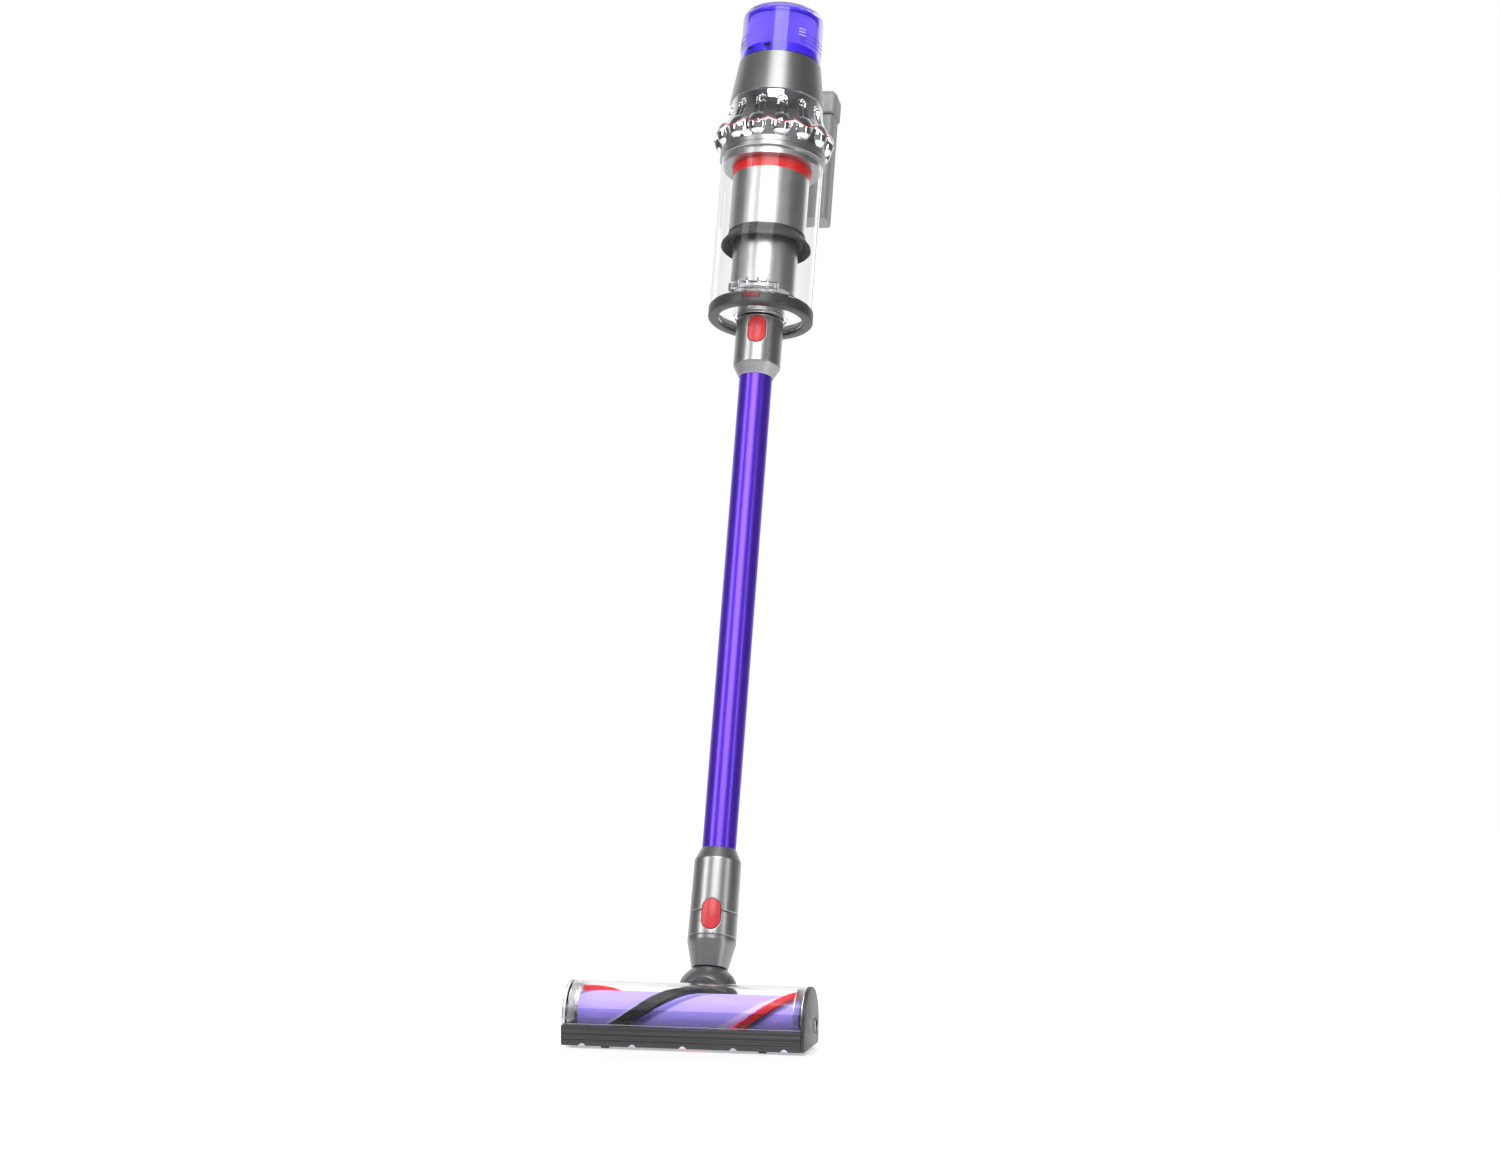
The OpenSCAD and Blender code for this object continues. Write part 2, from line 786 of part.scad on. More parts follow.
module end_cap() {
  color("dimgray") difference() {
    union() {
      along_head(side_x + gap, half_w) end_outline();
      translate([side_x - 9, roller_y, roller_z]) rotate([0, 90, 0]) cylinder(r = 6.8, h = 10);
    }
    translate([half_w - 2, lock_y, lock_z]) rotate([0, 90, 0])
      cylinder(r = lock_r + gap, h = 10);
  }
}

module end_lock() {
  color("gray") translate([half_w - 1.7, lock_y, lock_z]) rotate([0, 90, 0]) difference() {
    cylinder(r = lock_r, h = 2.3);
    translate([-7, -0.8, 1.5]) cube([14, 1.6, 4]);
  }
}

roller_low = -half_w + 13;
roller_high = side_x - 5.5;

module brush_tube() {
  color("mediumpurple") translate([0, roller_y, roller_z]) rotate([0, 90, 0]) {
    ring(roller_r, roller_r - 5, roller_low, roller_high);
    ring(roller_r - 5 + eps, 7, roller_high - 6, roller_high);
  }
}

// a strip that winds once round the tube: a closed sweep of a flat section
advance = 230;
strip_steps = 36;

function strip_point(x, angle, out) = [x, out * cos(angle), out * sin(angle)];

function strip_ring(t, start, spread) = let (
    x = roller_low + 1 + t * (roller_high - roller_low - 2),
    a = start - (x - roller_low) / advance * 360,
    foot_r = (roller_r + 0.1) / cos(spread)
  ) [
    strip_point(x, a - spread, foot_r),
    strip_point(x, a - spread, roller_r + pile),
    strip_point(x, a + spread, roller_r + pile),
    strip_point(x, a + spread, foot_r)
  ];

module strip(start, width) {
  spread = width / roller_r * 90 / PI;
  last = 4 * strip_steps;
  points = [for (i = [0 : strip_steps]) each strip_ring(i / strip_steps, start, spread)];
  sides = [for (i = [0 : strip_steps - 1]) for (k = [0 : 3])
    let (a = 4 * i + k, b = 4 * i + (k + 1) % 4) each [[a, a + 4, b], [b, a + 4, b + 4]]];
  ends = [
    [0, 1, 2], [0, 2, 3], [last + 2, last + 1, last], [last + 3, last + 2, last]
  ];
  polyhedron(points, concat(sides, ends));
}

dark_start = 266;

module fibre_strips() {
  color("black") translate([0, roller_y, roller_z]) strip(dark_start, 11.2);
}

module bristle_strips() {
  color("red") translate([0, roller_y, roller_z]) strip(dark_start + 191, 7.2);
}

motor_housing();
display_post();
display_glass();
motor_can();
motor_bearings();
circuit_board();
cyclone_crown();
cyclone_trim();
cyclone_bowls();
cyclone_cones();
bin_collar();
collar_seal();
shroud();
shroud_skirt();
inner_core();
inlet_duct();
handle();
battery_contacts();
motor_rotor();
mode_button();
filter_seal();
filter_cap();
filter_frame();
filter_media();
trigger();
trigger_spring();
bin_release();
clear_bin();
latch_housing();
base_pin();
base_ring();
base_window();
base_seal();
base_catch();
battery_case();
battery_cells();
battery_catch();
upper_collar();
wand_tube();
lower_collar();
upper_button();
neck_sleeve();
lower_button();
neck();
elbow();
pivot_pins();
head_shell();
front_strip();
clear_cover();
sole_felt();
drive_motor();
front_roller_left();
front_roller_right();
rear_wheel_left();
rear_wheel_right();
end_cap();
end_lock();
brush_tube();
fibre_strips();
bristle_strips();
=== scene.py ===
# %% [markdown]
# # A cordless stick vacuum cleaner
# The machine stands on its roller head and leans back on its wand. The exact
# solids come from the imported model, so this script only gives them finishes
# and swaps the plain solids for detailed pieces where the eye looks closely.

# %% Load the fixed frame
import json
import math
import bpy
import bmesh
import numpy as np
from mathutils import Matrix, Vector


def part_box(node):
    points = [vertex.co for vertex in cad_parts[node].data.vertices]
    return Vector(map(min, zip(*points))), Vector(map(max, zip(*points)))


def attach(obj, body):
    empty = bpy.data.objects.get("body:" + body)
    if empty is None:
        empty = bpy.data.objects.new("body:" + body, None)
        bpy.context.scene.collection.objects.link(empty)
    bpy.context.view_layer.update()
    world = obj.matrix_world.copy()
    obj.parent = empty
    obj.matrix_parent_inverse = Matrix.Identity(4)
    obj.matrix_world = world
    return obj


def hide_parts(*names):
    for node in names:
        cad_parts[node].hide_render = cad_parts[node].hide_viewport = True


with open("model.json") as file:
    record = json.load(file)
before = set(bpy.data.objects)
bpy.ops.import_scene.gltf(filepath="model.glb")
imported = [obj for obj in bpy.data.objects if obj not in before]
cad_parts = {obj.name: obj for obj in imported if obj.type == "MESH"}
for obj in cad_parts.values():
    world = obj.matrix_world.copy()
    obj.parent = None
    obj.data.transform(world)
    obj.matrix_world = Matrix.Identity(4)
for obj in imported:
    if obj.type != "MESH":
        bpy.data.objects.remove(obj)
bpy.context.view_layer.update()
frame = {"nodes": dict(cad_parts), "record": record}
NODES = frame["nodes"]
JOINT = {j["name"]: j for j in frame["record"]["behaviour"]["joints"]}
scene = bpy.context.scene
MM = 0.001
print("nodes:", len(NODES), "joints:", len(JOINT))

# %% [markdown]
# ## The machine's own axis
# Everything from the yoke's pivot up to the filter is turned round one leaning
# line. Work is easiest with that line upright, so pieces are drawn in the
# machine's frame, in millimetres, and laid into the leaning place at the end.

# %% Build the leaning frame from the joints
up_axis = Vector(JOINT["rotor_spin"]["axis"]).normalized()
pivot = Vector(JOINT["head_pitch"]["pos_m"])
back_axis = up_axis.cross(Vector((1, 0, 0))).normalized()
LEANING = Matrix.Translation(pivot) @ Matrix(
    ((1, back_axis.x, up_axis.x, 0), (0, back_axis.y, up_axis.y, 0),
     (0, back_axis.z, up_axis.z, 0), (0, 0, 0, 1))) @ Matrix.Scale(MM, 4)


def own_points(node):
    """A CAD node's points in millimetres, in the machine's own frame."""
    mesh = NODES[node].data
    co = np.empty(len(mesh.vertices) * 3)
    mesh.vertices.foreach_get("co", co)
    co = np.c_[co.reshape(-1, 3), np.ones(len(mesh.vertices))]
    return (co @ np.array(LEANING.inverted()).T)[:, :3]


def span(node):
    """Lowest height, highest height and largest radius of a turned node."""
    p = own_points(node)
    return p[:, 2].min(), p[:, 2].max(), np.hypot(p[:, 0], p[:, 1]).max()


print("wand:", [round(float(v), 1) for v in span("wand_tube")])
print("bin:", [round(float(v), 1) for v in span("clear_bin")])

# %% [markdown]
# ## Small helpers for making pieces
# A piece is a mesh whose object stays at the origin, unturned, so that its
# patterns stay put when its body moves. Each one says which body it rides on
# and which plain solid it stands for.

# %% Helpers for pieces
def make_piece(name, points, faces, material):
    """A cleaned mesh object from points in the machine's own frame."""
    mesh = bpy.data.meshes.new(name)
    mesh.from_pydata([LEANING @ Vector(p) for p in points], [], faces)
    mesh.materials.append(material)
    mesh.validate()
    tidy = bmesh.new()
    tidy.from_mesh(mesh)
    bmesh.ops.remove_doubles(tidy, verts=tidy.verts, dist=1e-6)
    bmesh.ops.recalc_face_normals(tidy, faces=tidy.faces)
    tidy.to_mesh(mesh)
    tidy.free()
    obj = bpy.data.objects.new(name, mesh)
    scene.collection.objects.link(obj)
    soften_shading(obj)
    return obj


def soften_shading(obj, degrees=35):
    """Smooth across gentle edges and crisp across sharp ones."""
    mesh = obj.data
    mesh.shade_smooth()
    tidy = bmesh.new()
    tidy.from_mesh(mesh)
    limit = math.radians(degrees)
    for edge in tidy.edges:
        edge.smooth = len(edge.link_faces) == 2 and edge.calc_face_angle(0) < limit
    tidy.to_mesh(mesh)
    tidy.free()


def settle(obj, body, node):
    """Says where a piece belongs once its shape is final."""
    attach(obj, body)
    if node:
        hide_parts(*([node] if isinstance(node, str) else node))
    return obj


def spin_rings(rings, sections):
    """Points and faces of a surface turned round the machine's axis.
    rings is a list of (radius, height), both numbers or arrays over the turn."""
    angle = np.arange(sections) * 2 * math.pi / sections
    points, faces = [], []
    for radius, height in rings:
        r = np.broadcast_to(radius, sections)
        z = np.broadcast_to(height, sections)
        points += list(zip(r * np.sin(angle), -r * np.cos(angle), z))
    rows = len(rings)
    for row in range(rows):
        a, b = row * sections, ((row + 1) % rows) * sections
        faces += [(a + k, a + (k + 1) % sections, b + (k + 1) % sections, b + k)
                  for k in range(sections)]
    return points, faces


def apply_modifiers(obj):
    """Turns the evaluated object into its own plain mesh."""
    graph = bpy.context.evaluated_depsgraph_get()
    mesh = bpy.data.meshes.new_from_object(obj.evaluated_get(graph))
    obj.modifiers.clear()
    obj.data = mesh
    return obj


def rounded_copy(node, material, width):
    """A merged copy of a CAD node with its sharp edges rounded by `width` millimetres."""
    mesh = NODES[node].data.copy()
    mesh.materials.clear()
    mesh.materials.append(material)
    tidy = bmesh.new()
    tidy.from_mesh(mesh)
    bmesh.ops.remove_doubles(tidy, verts=tidy.verts, dist=2e-6)
    bmesh.ops.dissolve_limit(tidy, angle_limit=math.radians(1.0), verts=tidy.verts,
                             edges=tidy.edges)
    for face in tidy.faces:
        face.material_index = 0
    tidy.to_mesh(mesh)
    tidy.free()
    obj = bpy.data.objects.new(node + "_finished", mesh)
    scene.collection.objects.link(obj)
    bevel = obj.modifiers.new("round", "BEVEL")
    bevel.width = width * MM
    bevel.segments = 2
    bevel.limit_method = "ANGLE"
    bevel.angle_limit = math.radians(40)
    bevel.use_clamp_overlap = True
    apply_modifiers(obj)
    soften_shading(obj, 30)
    return obj


print("helpers ready")

# %% [markdown]
# ## Shared shader groups
# Real surfaces are never even. One group gives every moulded or plated surface
# its slow smudges and fine grain; another gives drawn and brushed metal its
# long lines; a third lays a little dust on faces that look up.

# %% Group: handled surface
def node_group(name, inputs, outputs):
    tree = bpy.data.node_groups.new(name, "ShaderNodeTree")
    for label, kind, value in inputs:
        socket = tree.interface.new_socket(label, in_out="INPUT", socket_type=kind)
        if value is not None:
            socket.default_value = value
    for label, kind in outputs:
        tree.interface.new_socket(label, in_out="OUTPUT", socket_type=kind)
    return tree, tree.nodes.new("NodeGroupInput"), tree.nodes.new("NodeGroupOutput")


def add(tree, kind, **values):
    node = tree.nodes.new(kind)
    for key, value in values.items():
        if hasattr(node, key):
            setattr(node, key, value)
        else:
            node.inputs[key.replace("_", " ")].default_value = value
    return node


def link(tree, source, target):
    tree.links.new(source, target)


def math_node(tree, operation, a, b=None, clamp=False):
    node = tree.nodes.new("ShaderNodeMath")
    node.operation = operation
    node.use_clamp = clamp
    for index, value in enumerate((a, b)):
        if value is None:
            continue
        if isinstance(value, (int, float)):
            node.inputs[index].default_value = value
        else:
            link(tree, value, node.inputs[index])
    return node.outputs[0]


FLOAT, VECTOR, COLOUR = "NodeSocketFloat", "NodeSocketVector", "NodeSocketColor"

handled, gin, gout = node_group(
    "handled_surface",
    [("Vector", VECTOR, None), ("Roughness", FLOAT, 0.4), ("Smudge", FLOAT, 0.1),
     ("Grain Scale", FLOAT, 1500.0), ("Grain", FLOAT, 0.3)],
    [("Roughness", FLOAT), ("Height", FLOAT), ("Shade", FLOAT)])
smudge = add(handled, "ShaderNodeTexNoise", Scale=38.0, Detail=3.0, Roughness=0.6)
grain = add(handled, "ShaderNodeTexNoise", Detail=2.0, Roughness=0.5)
link(handled, gin.outputs["Vector"], smudge.inputs["Vector"])
link(handled, gin.outputs["Vector"], grain.inputs["Vector"])
link(handled, gin.outputs["Grain Scale"], grain.inputs["Scale"])
centred = math_node(handled, "SUBTRACT", smudge.outputs["Fac"], 0.5)
spread = math_node(handled, "MULTIPLY", centred, gin.outputs["Smudge"])
rough = math_node(handled, "ADD", gin.outputs["Roughness"], spread, clamp=True)
link(handled, rough, gout.inputs["Roughness"])
link(handled, math_node(handled, "MULTIPLY", grain.outputs["Fac"], gin.outputs["Grain"]),
     gout.inputs["Height"])
link(handled, math_node(handled, "ADD", math_node(handled, "MULTIPLY", centred, 0.25), 1.0),
     gout.inputs["Shade"])
print("group", handled.name)

# %% [markdown]
# Drawn and turned metal has fine lines along one way. The group squeezes a
# noise across that way and stretches it along it.

# %% Group: drawn lines
drawn, gin, gout = node_group(
    "drawn_lines",
    [("Vector", VECTOR, None), ("Across", FLOAT, 4000.0), ("Along", FLOAT, 25.0)],
    [("Height", FLOAT), ("Shade", FLOAT)])
squeeze = add(drawn, "ShaderNodeCombineXYZ")
stretch = drawn.nodes.new("ShaderNodeVectorMath")
stretch.operation = "MULTIPLY"
lines = add(drawn, "ShaderNodeTexNoise", Scale=1.0, Detail=4.0, Roughness=0.7)
link(drawn, gin.outputs["Across"], squeeze.inputs["X"])
link(drawn, gin.outputs["Across"], squeeze.inputs["Y"])
link(drawn, gin.outputs["Along"], squeeze.inputs["Z"])
link(drawn, gin.outputs["Vector"], stretch.inputs[0])
link(drawn, squeeze.outputs[0], stretch.inputs[1])
link(drawn, stretch.outputs[0], lines.inputs["Vector"])
link(drawn, lines.outputs["Fac"], gout.inputs["Height"])
link(drawn, math_node(drawn, "ADD", math_node(
    drawn, "MULTIPLY", lines.outputs["Fac"], 0.3), 0.85), gout.inputs["Shade"])
print("group", drawn.name)

# %% [markdown]
# A used machine has a trace of dust, and only where a surface faces upward.

# %% Group: settled dust
dust, gin, gout = node_group(
    "settled_dust", [("Vector", VECTOR, None), ("Colour", COLOUR, (0.5, 0.5, 0.5, 1)),
                     ("Amount", FLOAT, 0.08)], [("Colour", COLOUR)])
geometry = dust.nodes.new("ShaderNodeNewGeometry")
facing = add(dust, "ShaderNodeSeparateXYZ")
specks = add(dust, "ShaderNodeTexNoise", Scale=900.0, Detail=2.0)
blend = dust.nodes.new("ShaderNodeMix")
blend.data_type = "RGBA"
link(dust, geometry.outputs["Normal"], facing.inputs[0])
link(dust, gin.outputs["Vector"], specks.inputs["Vector"])
upward = math_node(dust, "MAXIMUM", facing.outputs["Z"], 0.0)
patchy = math_node(dust, "MULTIPLY", upward, specks.outputs["Fac"])
link(dust, math_node(dust, "MULTIPLY", patchy, gin.outputs["Amount"], clamp=True),
     blend.inputs["Factor"])
link(dust, gin.outputs["Colour"], blend.inputs["A"])
blend.inputs["B"].default_value = (0.55, 0.53, 0.5, 1)
link(dust, blend.outputs["Result"], gout.inputs["Colour"])
print("group", dust.name)

# %% [markdown]
# ## Finishes
# Every finish starts from one recipe: object coordinates, the smudge-and-grain
# group, a touch of dust, then one Principled shader. What differs is colour,
# metal or not, gloss, and how deep the grain is.

# %% The common recipe
def finish(name, colour, roughness=0.4, metallic=0.0, smudge=0.12, grain=0.3,
           grain_scale=1500.0, bump=0.02, dusty=0.05, coat=0.0, along=None, **sockets):
    material = bpy.data.materials.new(name)
    material.use_nodes = True
    tree = material.node_tree
    shader = tree.nodes["Principled BSDF"]
    where = tree.nodes.new("ShaderNodeTexCoord").outputs["Object"]
    surface = tree.nodes.new("ShaderNodeGroup")
    surface.node_tree = handled
    surface.inputs["Roughness"].default_value = roughness
    surface.inputs["Smudge"].default_value = smudge
    surface.inputs["Grain Scale"].default_value = grain_scale
    surface.inputs["Grain"].default_value = grain
    link(tree, where, surface.inputs["Vector"])
    tint = tree.nodes.new("ShaderNodeVectorMath")
    tint.operation = "SCALE"
    tint.inputs[0].default_value = colour
    link(tree, surface.outputs["Shade"], tint.inputs["Scale"])
    height = surface.outputs["Height"]
    if along:
        streaks = tree.nodes.new("ShaderNodeGroup")
        streaks.node_tree = drawn
        streaks.inputs["Across"].default_value = along[0]
        streaks.inputs["Along"].default_value = along[1]
        turn = tree.nodes.new("ShaderNodeMapping")
        turn.inputs["Rotation"].default_value = LEANING.to_euler()
        turn.vector_type = "TEXTURE"
        link(tree, where, turn.inputs["Vector"])
        link(tree, turn.outputs[0], streaks.inputs["Vector"])
        again = tree.nodes.new("ShaderNodeVectorMath")
        again.operation = "SCALE"
        link(tree, tint.outputs[0], again.inputs[0])
        link(tree, streaks.outputs["Shade"], again.inputs["Scale"])
        tint = again
        height = math_node(tree, "ADD", height, streaks.outputs["Height"])
    settled = tree.nodes.new("ShaderNodeGroup")
    settled.node_tree = dust
    settled.inputs["Amount"].default_value = dusty
    link(tree, where, settled.inputs["Vector"])
    link(tree, tint.outputs[0], settled.inputs["Colour"])
    link(tree, settled.outputs[0], shader.inputs["Base Color"])
    link(tree, surface.outputs["Roughness"], shader.inputs["Roughness"])
    shader.inputs["Metallic"].default_value = metallic
    shader.inputs["Coat Weight"].default_value = coat
    relief = tree.nodes.new("ShaderNodeBump")
    relief.inputs["Strength"].default_value = 0.6
    relief.inputs["Distance"].default_value = bump * MM
    link(tree, height, relief.inputs["Height"])
    link(tree, relief.outputs[0], shader.inputs["Normal"])
    for socket, value in sockets.items():
        shader.inputs[socket.replace("_", " ")].default_value = value
    material.diffuse_color = (*colour, 1)
    return material


print("recipe ready")

# %% [markdown]
# The metals differ in tint, in roughness and in how clearly lines run along
# them. Chrome is the brightest and smoothest, satin nickel is duller.

# %% Metals
nickel = finish("satin_nickel", (0.45, 0.45, 0.455), 0.34, 0.95, 0.03, 0.25, 2600, 0.01)
mesh_steel = finish("shroud_steel", (0.56, 0.56, 0.56), 0.32, 1.0, 0.05, 0.2, 3000, 0.01,
                    along=(2500, 40))
chrome = finish("bright_chrome", (0.84, 0.85, 0.88), 0.05, 1.0, 0.04, 0.15, 60, 0.03)
steel = finish("polished_steel", (0.62, 0.62, 0.62), 0.2, 1.0)
die_cast = finish("die_cast", (0.45, 0.45, 0.46), 0.5, 1.0, grain_scale=900, bump=0.05)
contact_brass = finish("contact_brass", (0.8, 0.6, 0.25), 0.28, 1.0)
violet_metal = finish("violet_anodised", (0.13, 0.045, 0.72), 0.3, 0.75, 0.06, 0.2, 2600,
                      0.008, coat=0.15, along=(3500, 12))
print("metals:", nickel.name, chrome.name, violet_metal.name)

# %% [markdown]
# The mouldings are plain plastics with a fine grain. The dark one comes first,
# because the grooved one below starts from the same colour.

# %% Dark plastic
dark_plastic = finish("dark_plastic", (0.045, 0.045, 0.047), 0.36, bump=0.03)
print("dark plastic ready")

# %% [markdown]
# The strip under the cover's lip has fine grooves from end to end. A sine of
# the height, kept only where it is positive, gives equal ridges.

# %% Grooved plastic
GROOVE_PITCH = 0.0042
grooved = finish("grooved_plastic", (0.042, 0.042, 0.044), 0.34, bump=0.03)
t = grooved.node_tree
spot = t.nodes.new("ShaderNodeSeparateXYZ")
link(t, t.nodes.new("ShaderNodeTexCoord").outputs["Object"], spot.inputs[0])
wave = math_node(t, "SINE", math_node(t, "MULTIPLY", spot.outputs["Z"], 2 * math.pi / GROOVE_PITCH))
ridge = math_node(t, "POWER", math_node(t, "MAXIMUM", wave, 0.0), 3.0)
grooves = t.nodes.new("ShaderNodeBump")
grooves.inputs["Strength"].default_value = 0.8
grooves.inputs["Distance"].default_value = 0.5 * MM
link(t, ridge, grooves.inputs["Height"])
link(t, t.nodes["Bump"].outputs[0], grooves.inputs["Normal"])
link(t, grooves.outputs[0], t.nodes["Principled BSDF"].inputs["Normal"])
print("grooves every", GROOVE_PITCH / MM, "mm")

# %% [markdown]
# The other mouldings, the rubber and the seals each have one line.

# %% More plastics and rubber
neck_grey = finish("neck_grey", (0.32, 0.32, 0.325), 0.33, 0.85, 0.04, bump=0.01)
head_grey = finish("head_grey", (0.15, 0.15, 0.153), 0.33, 0.55, 0.05, bump=0.012)
light_grey = finish("light_grey_plastic", (0.3, 0.3, 0.305), 0.42, 0.1, bump=0.03)
black_rubber = finish("black_rubber", (0.02, 0.02, 0.02), 0.55, grain_scale=900, bump=0.06)
black_gloss = finish("black_gloss", (0.012, 0.012, 0.013), 0.14, bump=0.004)
signal_red = finish("signal_red", (0.62, 0.02, 0.025), 0.35, coat=0.2)
# a darker copy of the red plastic for the base catch, which lies in shade: painted shade
painted_shade_red = finish("painted_shade_red", (0.2, 0.012, 0.014), 0.4)
button_red = finish("button_red", (0.72, 0.05, 0.06), 0.38, coat=0.15)
ring_red = finish("ring_red", (0.6, 0.012, 0.012), 0.33)
board_green = finish("board_green", (0.02, 0.13, 0.05), 0.4)
cell_blue = finish("cell_wrap", (0.03, 0.12, 0.4), 0.25)
cone_grey = finish("cone_grey", (0.12, 0.12, 0.125), 0.4)
deep_violet = finish("deep_violet", (0.07, 0.03, 0.62), 0.35)
felt_black = finish("felt_black", (0.025, 0.025, 0.026), 0.95, grain=1.0, grain_scale=2200,
                    bump=0.4)
print("plastics ready")

# %% [markdown]
# Clear plastic is a thin moulded wall: it bends light a little, shows a bright
# rim where the wall is seen edge on, and carries faint wipe marks.

# %% Clear mouldings
def clear_finish(name, colour, roughness, ior, alpha):
    material = bpy.data.materials.new(name)
    material.use_nodes = True
    tree = material.node_tree
    shader = tree.nodes["Principled BSDF"]
    where = tree.nodes.new("ShaderNodeTexCoord").outputs["Object"]
    surface = tree.nodes.new("ShaderNodeGroup")
    surface.node_tree = handled
    surface.inputs["Roughness"].default_value = roughness
    surface.inputs["Smudge"].default_value = roughness
    surface.inputs["Grain Scale"].default_value = 25.0
    surface.inputs["Grain"].default_value = 1.0
    link(tree, where, surface.inputs["Vector"])
    link(tree, surface.outputs["Roughness"], shader.inputs["Roughness"])
    relief = tree.nodes.new("ShaderNodeBump")
    relief.inputs["Strength"].default_value = 0.15
    relief.inputs["Distance"].default_value = 0.2 * MM
    link(tree, surface.outputs["Height"], relief.inputs["Height"])
    link(tree, relief.outputs[0], shader.inputs["Normal"])
    shader.inputs["Base Color"].default_value = (*colour, 1)
    shader.inputs["Transmission Weight"].default_value = 1.0
    shader.inputs["IOR"].default_value = ior
    shader.inputs["Alpha"].default_value = alpha
    return material


clear_plastic = clear_finish("clear_plastic", (0.97, 0.975, 0.98), 0.03, 1.22, 1.0)
clear_cover_finish = clear_finish("clear_cover", (0.95, 0.955, 0.96), 0.03, 1.3, 1.0)
print("clear moulding recipe ready")

# %% [markdown]
# The roller looks paler on top, where light falls on the cover and is mirrored
# by it. Here the cover is clear above and darker below, as painted shade: the
# change is a narrow step in height, put into the cover's own colour.

# %% Painted shade on the lower half of the cover
PAINTED_SHADE_Z = 0.040
PAINTED_SHADE_EDGE = 0.0005
t = clear_cover_finish.node_tree
cover_place = t.nodes.new("ShaderNodeSeparateXYZ")
link(t, t.nodes.new("ShaderNodeTexCoord").outputs["Object"], cover_place.inputs[0])
# the cover's colour is 0.97 above the step and 0.62 below it: painted shade on its lower half
shade_band = t.nodes.new("ShaderNodeMapRange")
shade_band.inputs["From Min"].default_value = PAINTED_SHADE_Z - PAINTED_SHADE_EDGE
shade_band.inputs["From Max"].default_value = PAINTED_SHADE_Z + PAINTED_SHADE_EDGE
shade_band.inputs["To Min"].default_value = 0.62
shade_band.inputs["To Max"].default_value = 0.97
link(t, cover_place.outputs["Z"], shade_band.inputs["Value"])
painted_shade = t.nodes.new("ShaderNodeCombineXYZ")
for axis in "XYZ":
    link(t, shade_band.outputs[0], painted_shade.inputs[axis])
link(t, painted_shade.outputs[0], t.nodes["Principled BSDF"].inputs["Base Color"])
violet_clear = clear_finish("violet_clear", (0.62, 0.55, 0.97), 0.06, 1.4, 1.0)
print("clear finishes ready")

# %% [markdown]
# ## Which finish each solid wears
# Solids whose shape is already right stay as they are and only get a finish.

# %% Dress the solids
DRESS = {
    nickel: ["motor_housing", "bin_collar", "upper_collar", "lower_collar", "neck_sleeve",
             "inner_core"],
    mesh_steel: ["shroud"],
    chrome: ["cyclone_crown", "cyclone_bowls"],
    steel: ["mode_button", "motor_bearings", "base_pin", "pivot_pins", "trigger_spring"],
    die_cast: ["motor_can", "motor_rotor", "drive_motor"],
    contact_brass: ["battery_contacts"],
    violet_metal: ["wand_tube"],
    dark_plastic: ["display_post", "inlet_duct", "front_strip", "end_cap", "base_ring"],
    head_grey: ["head_shell"],
    neck_grey: ["neck", "elbow", "end_lock"],
    light_grey: ["handle", "battery_case"],
    black_rubber: ["shroud_skirt", "filter_seal", "base_seal", "front_roller_left",
                   "front_roller_right", "rear_wheel_left", "rear_wheel_right"],
    black_gloss: ["display_glass"],
    signal_red: ["cyclone_trim", "trigger", "bin_release", "battery_catch"],
    painted_shade_red: ["base_catch"],
    button_red: ["upper_button", "lower_button"],
    ring_red: ["collar_seal"],
    board_green: ["circuit_board"],
    cell_blue: ["battery_cells"],
    cone_grey: ["cyclone_cones"],
    deep_violet: ["filter_frame"],
    felt_black: ["sole_felt"],
    clear_plastic: ["clear_bin", "base_window", "latch_housing"],
    clear_cover_finish: ["clear_cover"],
    violet_clear: ["filter_cap"],
}
for material, names in DRESS.items():
    for name in names:
        slots = NODES[name].data.materials
        slots.clear()
        slots.append(material)
# clear parts let the studio light through to what is inside them
for name in ("clear_bin", "clear_cover", "base_window", "latch_housing", "filter_cap"):
    NODES[name].visible_shadow = False
print("dressed", sum(len(n) for n in DRESS.values()), "solids")

# %% [markdown]
# ## The cyclone crown
# Fourteen cyclones stand in a ring, each in its own lobe. From outside that is
# one chromed moulding: a flare, an arched hollow over every lobe with the
# cyclone's round back standing in it, a domed shoulder, and a bowl below the
# red trim line. All of it is one rule, a radius for every angle and height, so
# it is computed row by row.

# %% Measure the crown
LOBES = 14
LOBE_TURN = math.radians(18.5)
crown_low, crown_top, crown_r = span("cyclone_crown")
bowl_low = span("cyclone_bowls")[0]
trim_low, _, trim_r = span("cyclone_trim")
SECTIONS = LOBES * 32
turn = np.arange(SECTIONS) * 2 * math.pi / SECTIONS
pitch = 2 * math.pi / LOBES
off = (turn - LOBE_TURN + pitch / 2) % pitch - pitch / 2
valley = np.abs(off) / (pitch / 2)
print("crown", round(crown_low, 1), round(crown_top, 1), round(crown_r, 1))


def smooth_step(low, high, value):
    t = np.clip((value - low) / (high - low), 0, 1)
    return t * t * (3 - 2 * t)


# how far below the crown's top, and the flare's radius there
flare_z = np.array([0, 5.5, 11.5, 17.5, 24, 29.5, 36.5, 41, 44])
flare_r = np.array([50.4, 50.9, 51.7, 53.0, 55.0, 57.4, 61.2, 63.6, 64.6])


def flare(height):
    return np.interp(crown_top - height, flare_z, flare_r)


def lobe_shell(height, middle, out, tall, wide, centre):
    """Radius of the lobes' round surface at a height, or zero beside it."""
    left = 1 - ((height - middle) / tall) ** 2
    side = centre * np.sin(off)
    room = left - (side / wide) ** 2
    reach = centre * np.cos(off) + out * np.sqrt(np.clip(room, 0, None))
    return np.where(room > 0, reach, 0)


trim_z = trim_low + 6.0 * valley ** 1.6
trim_edge = trim_r - 3.0 * valley ** 2
print("trim line rises", round(float(trim_z.max() - trim_z.min()), 1), "mm")

# %% [markdown]
# The crown is the flared part above the trim line: a dome low down on every
# lobe, and a sunken arch with a ridge in the middle between the lobes.

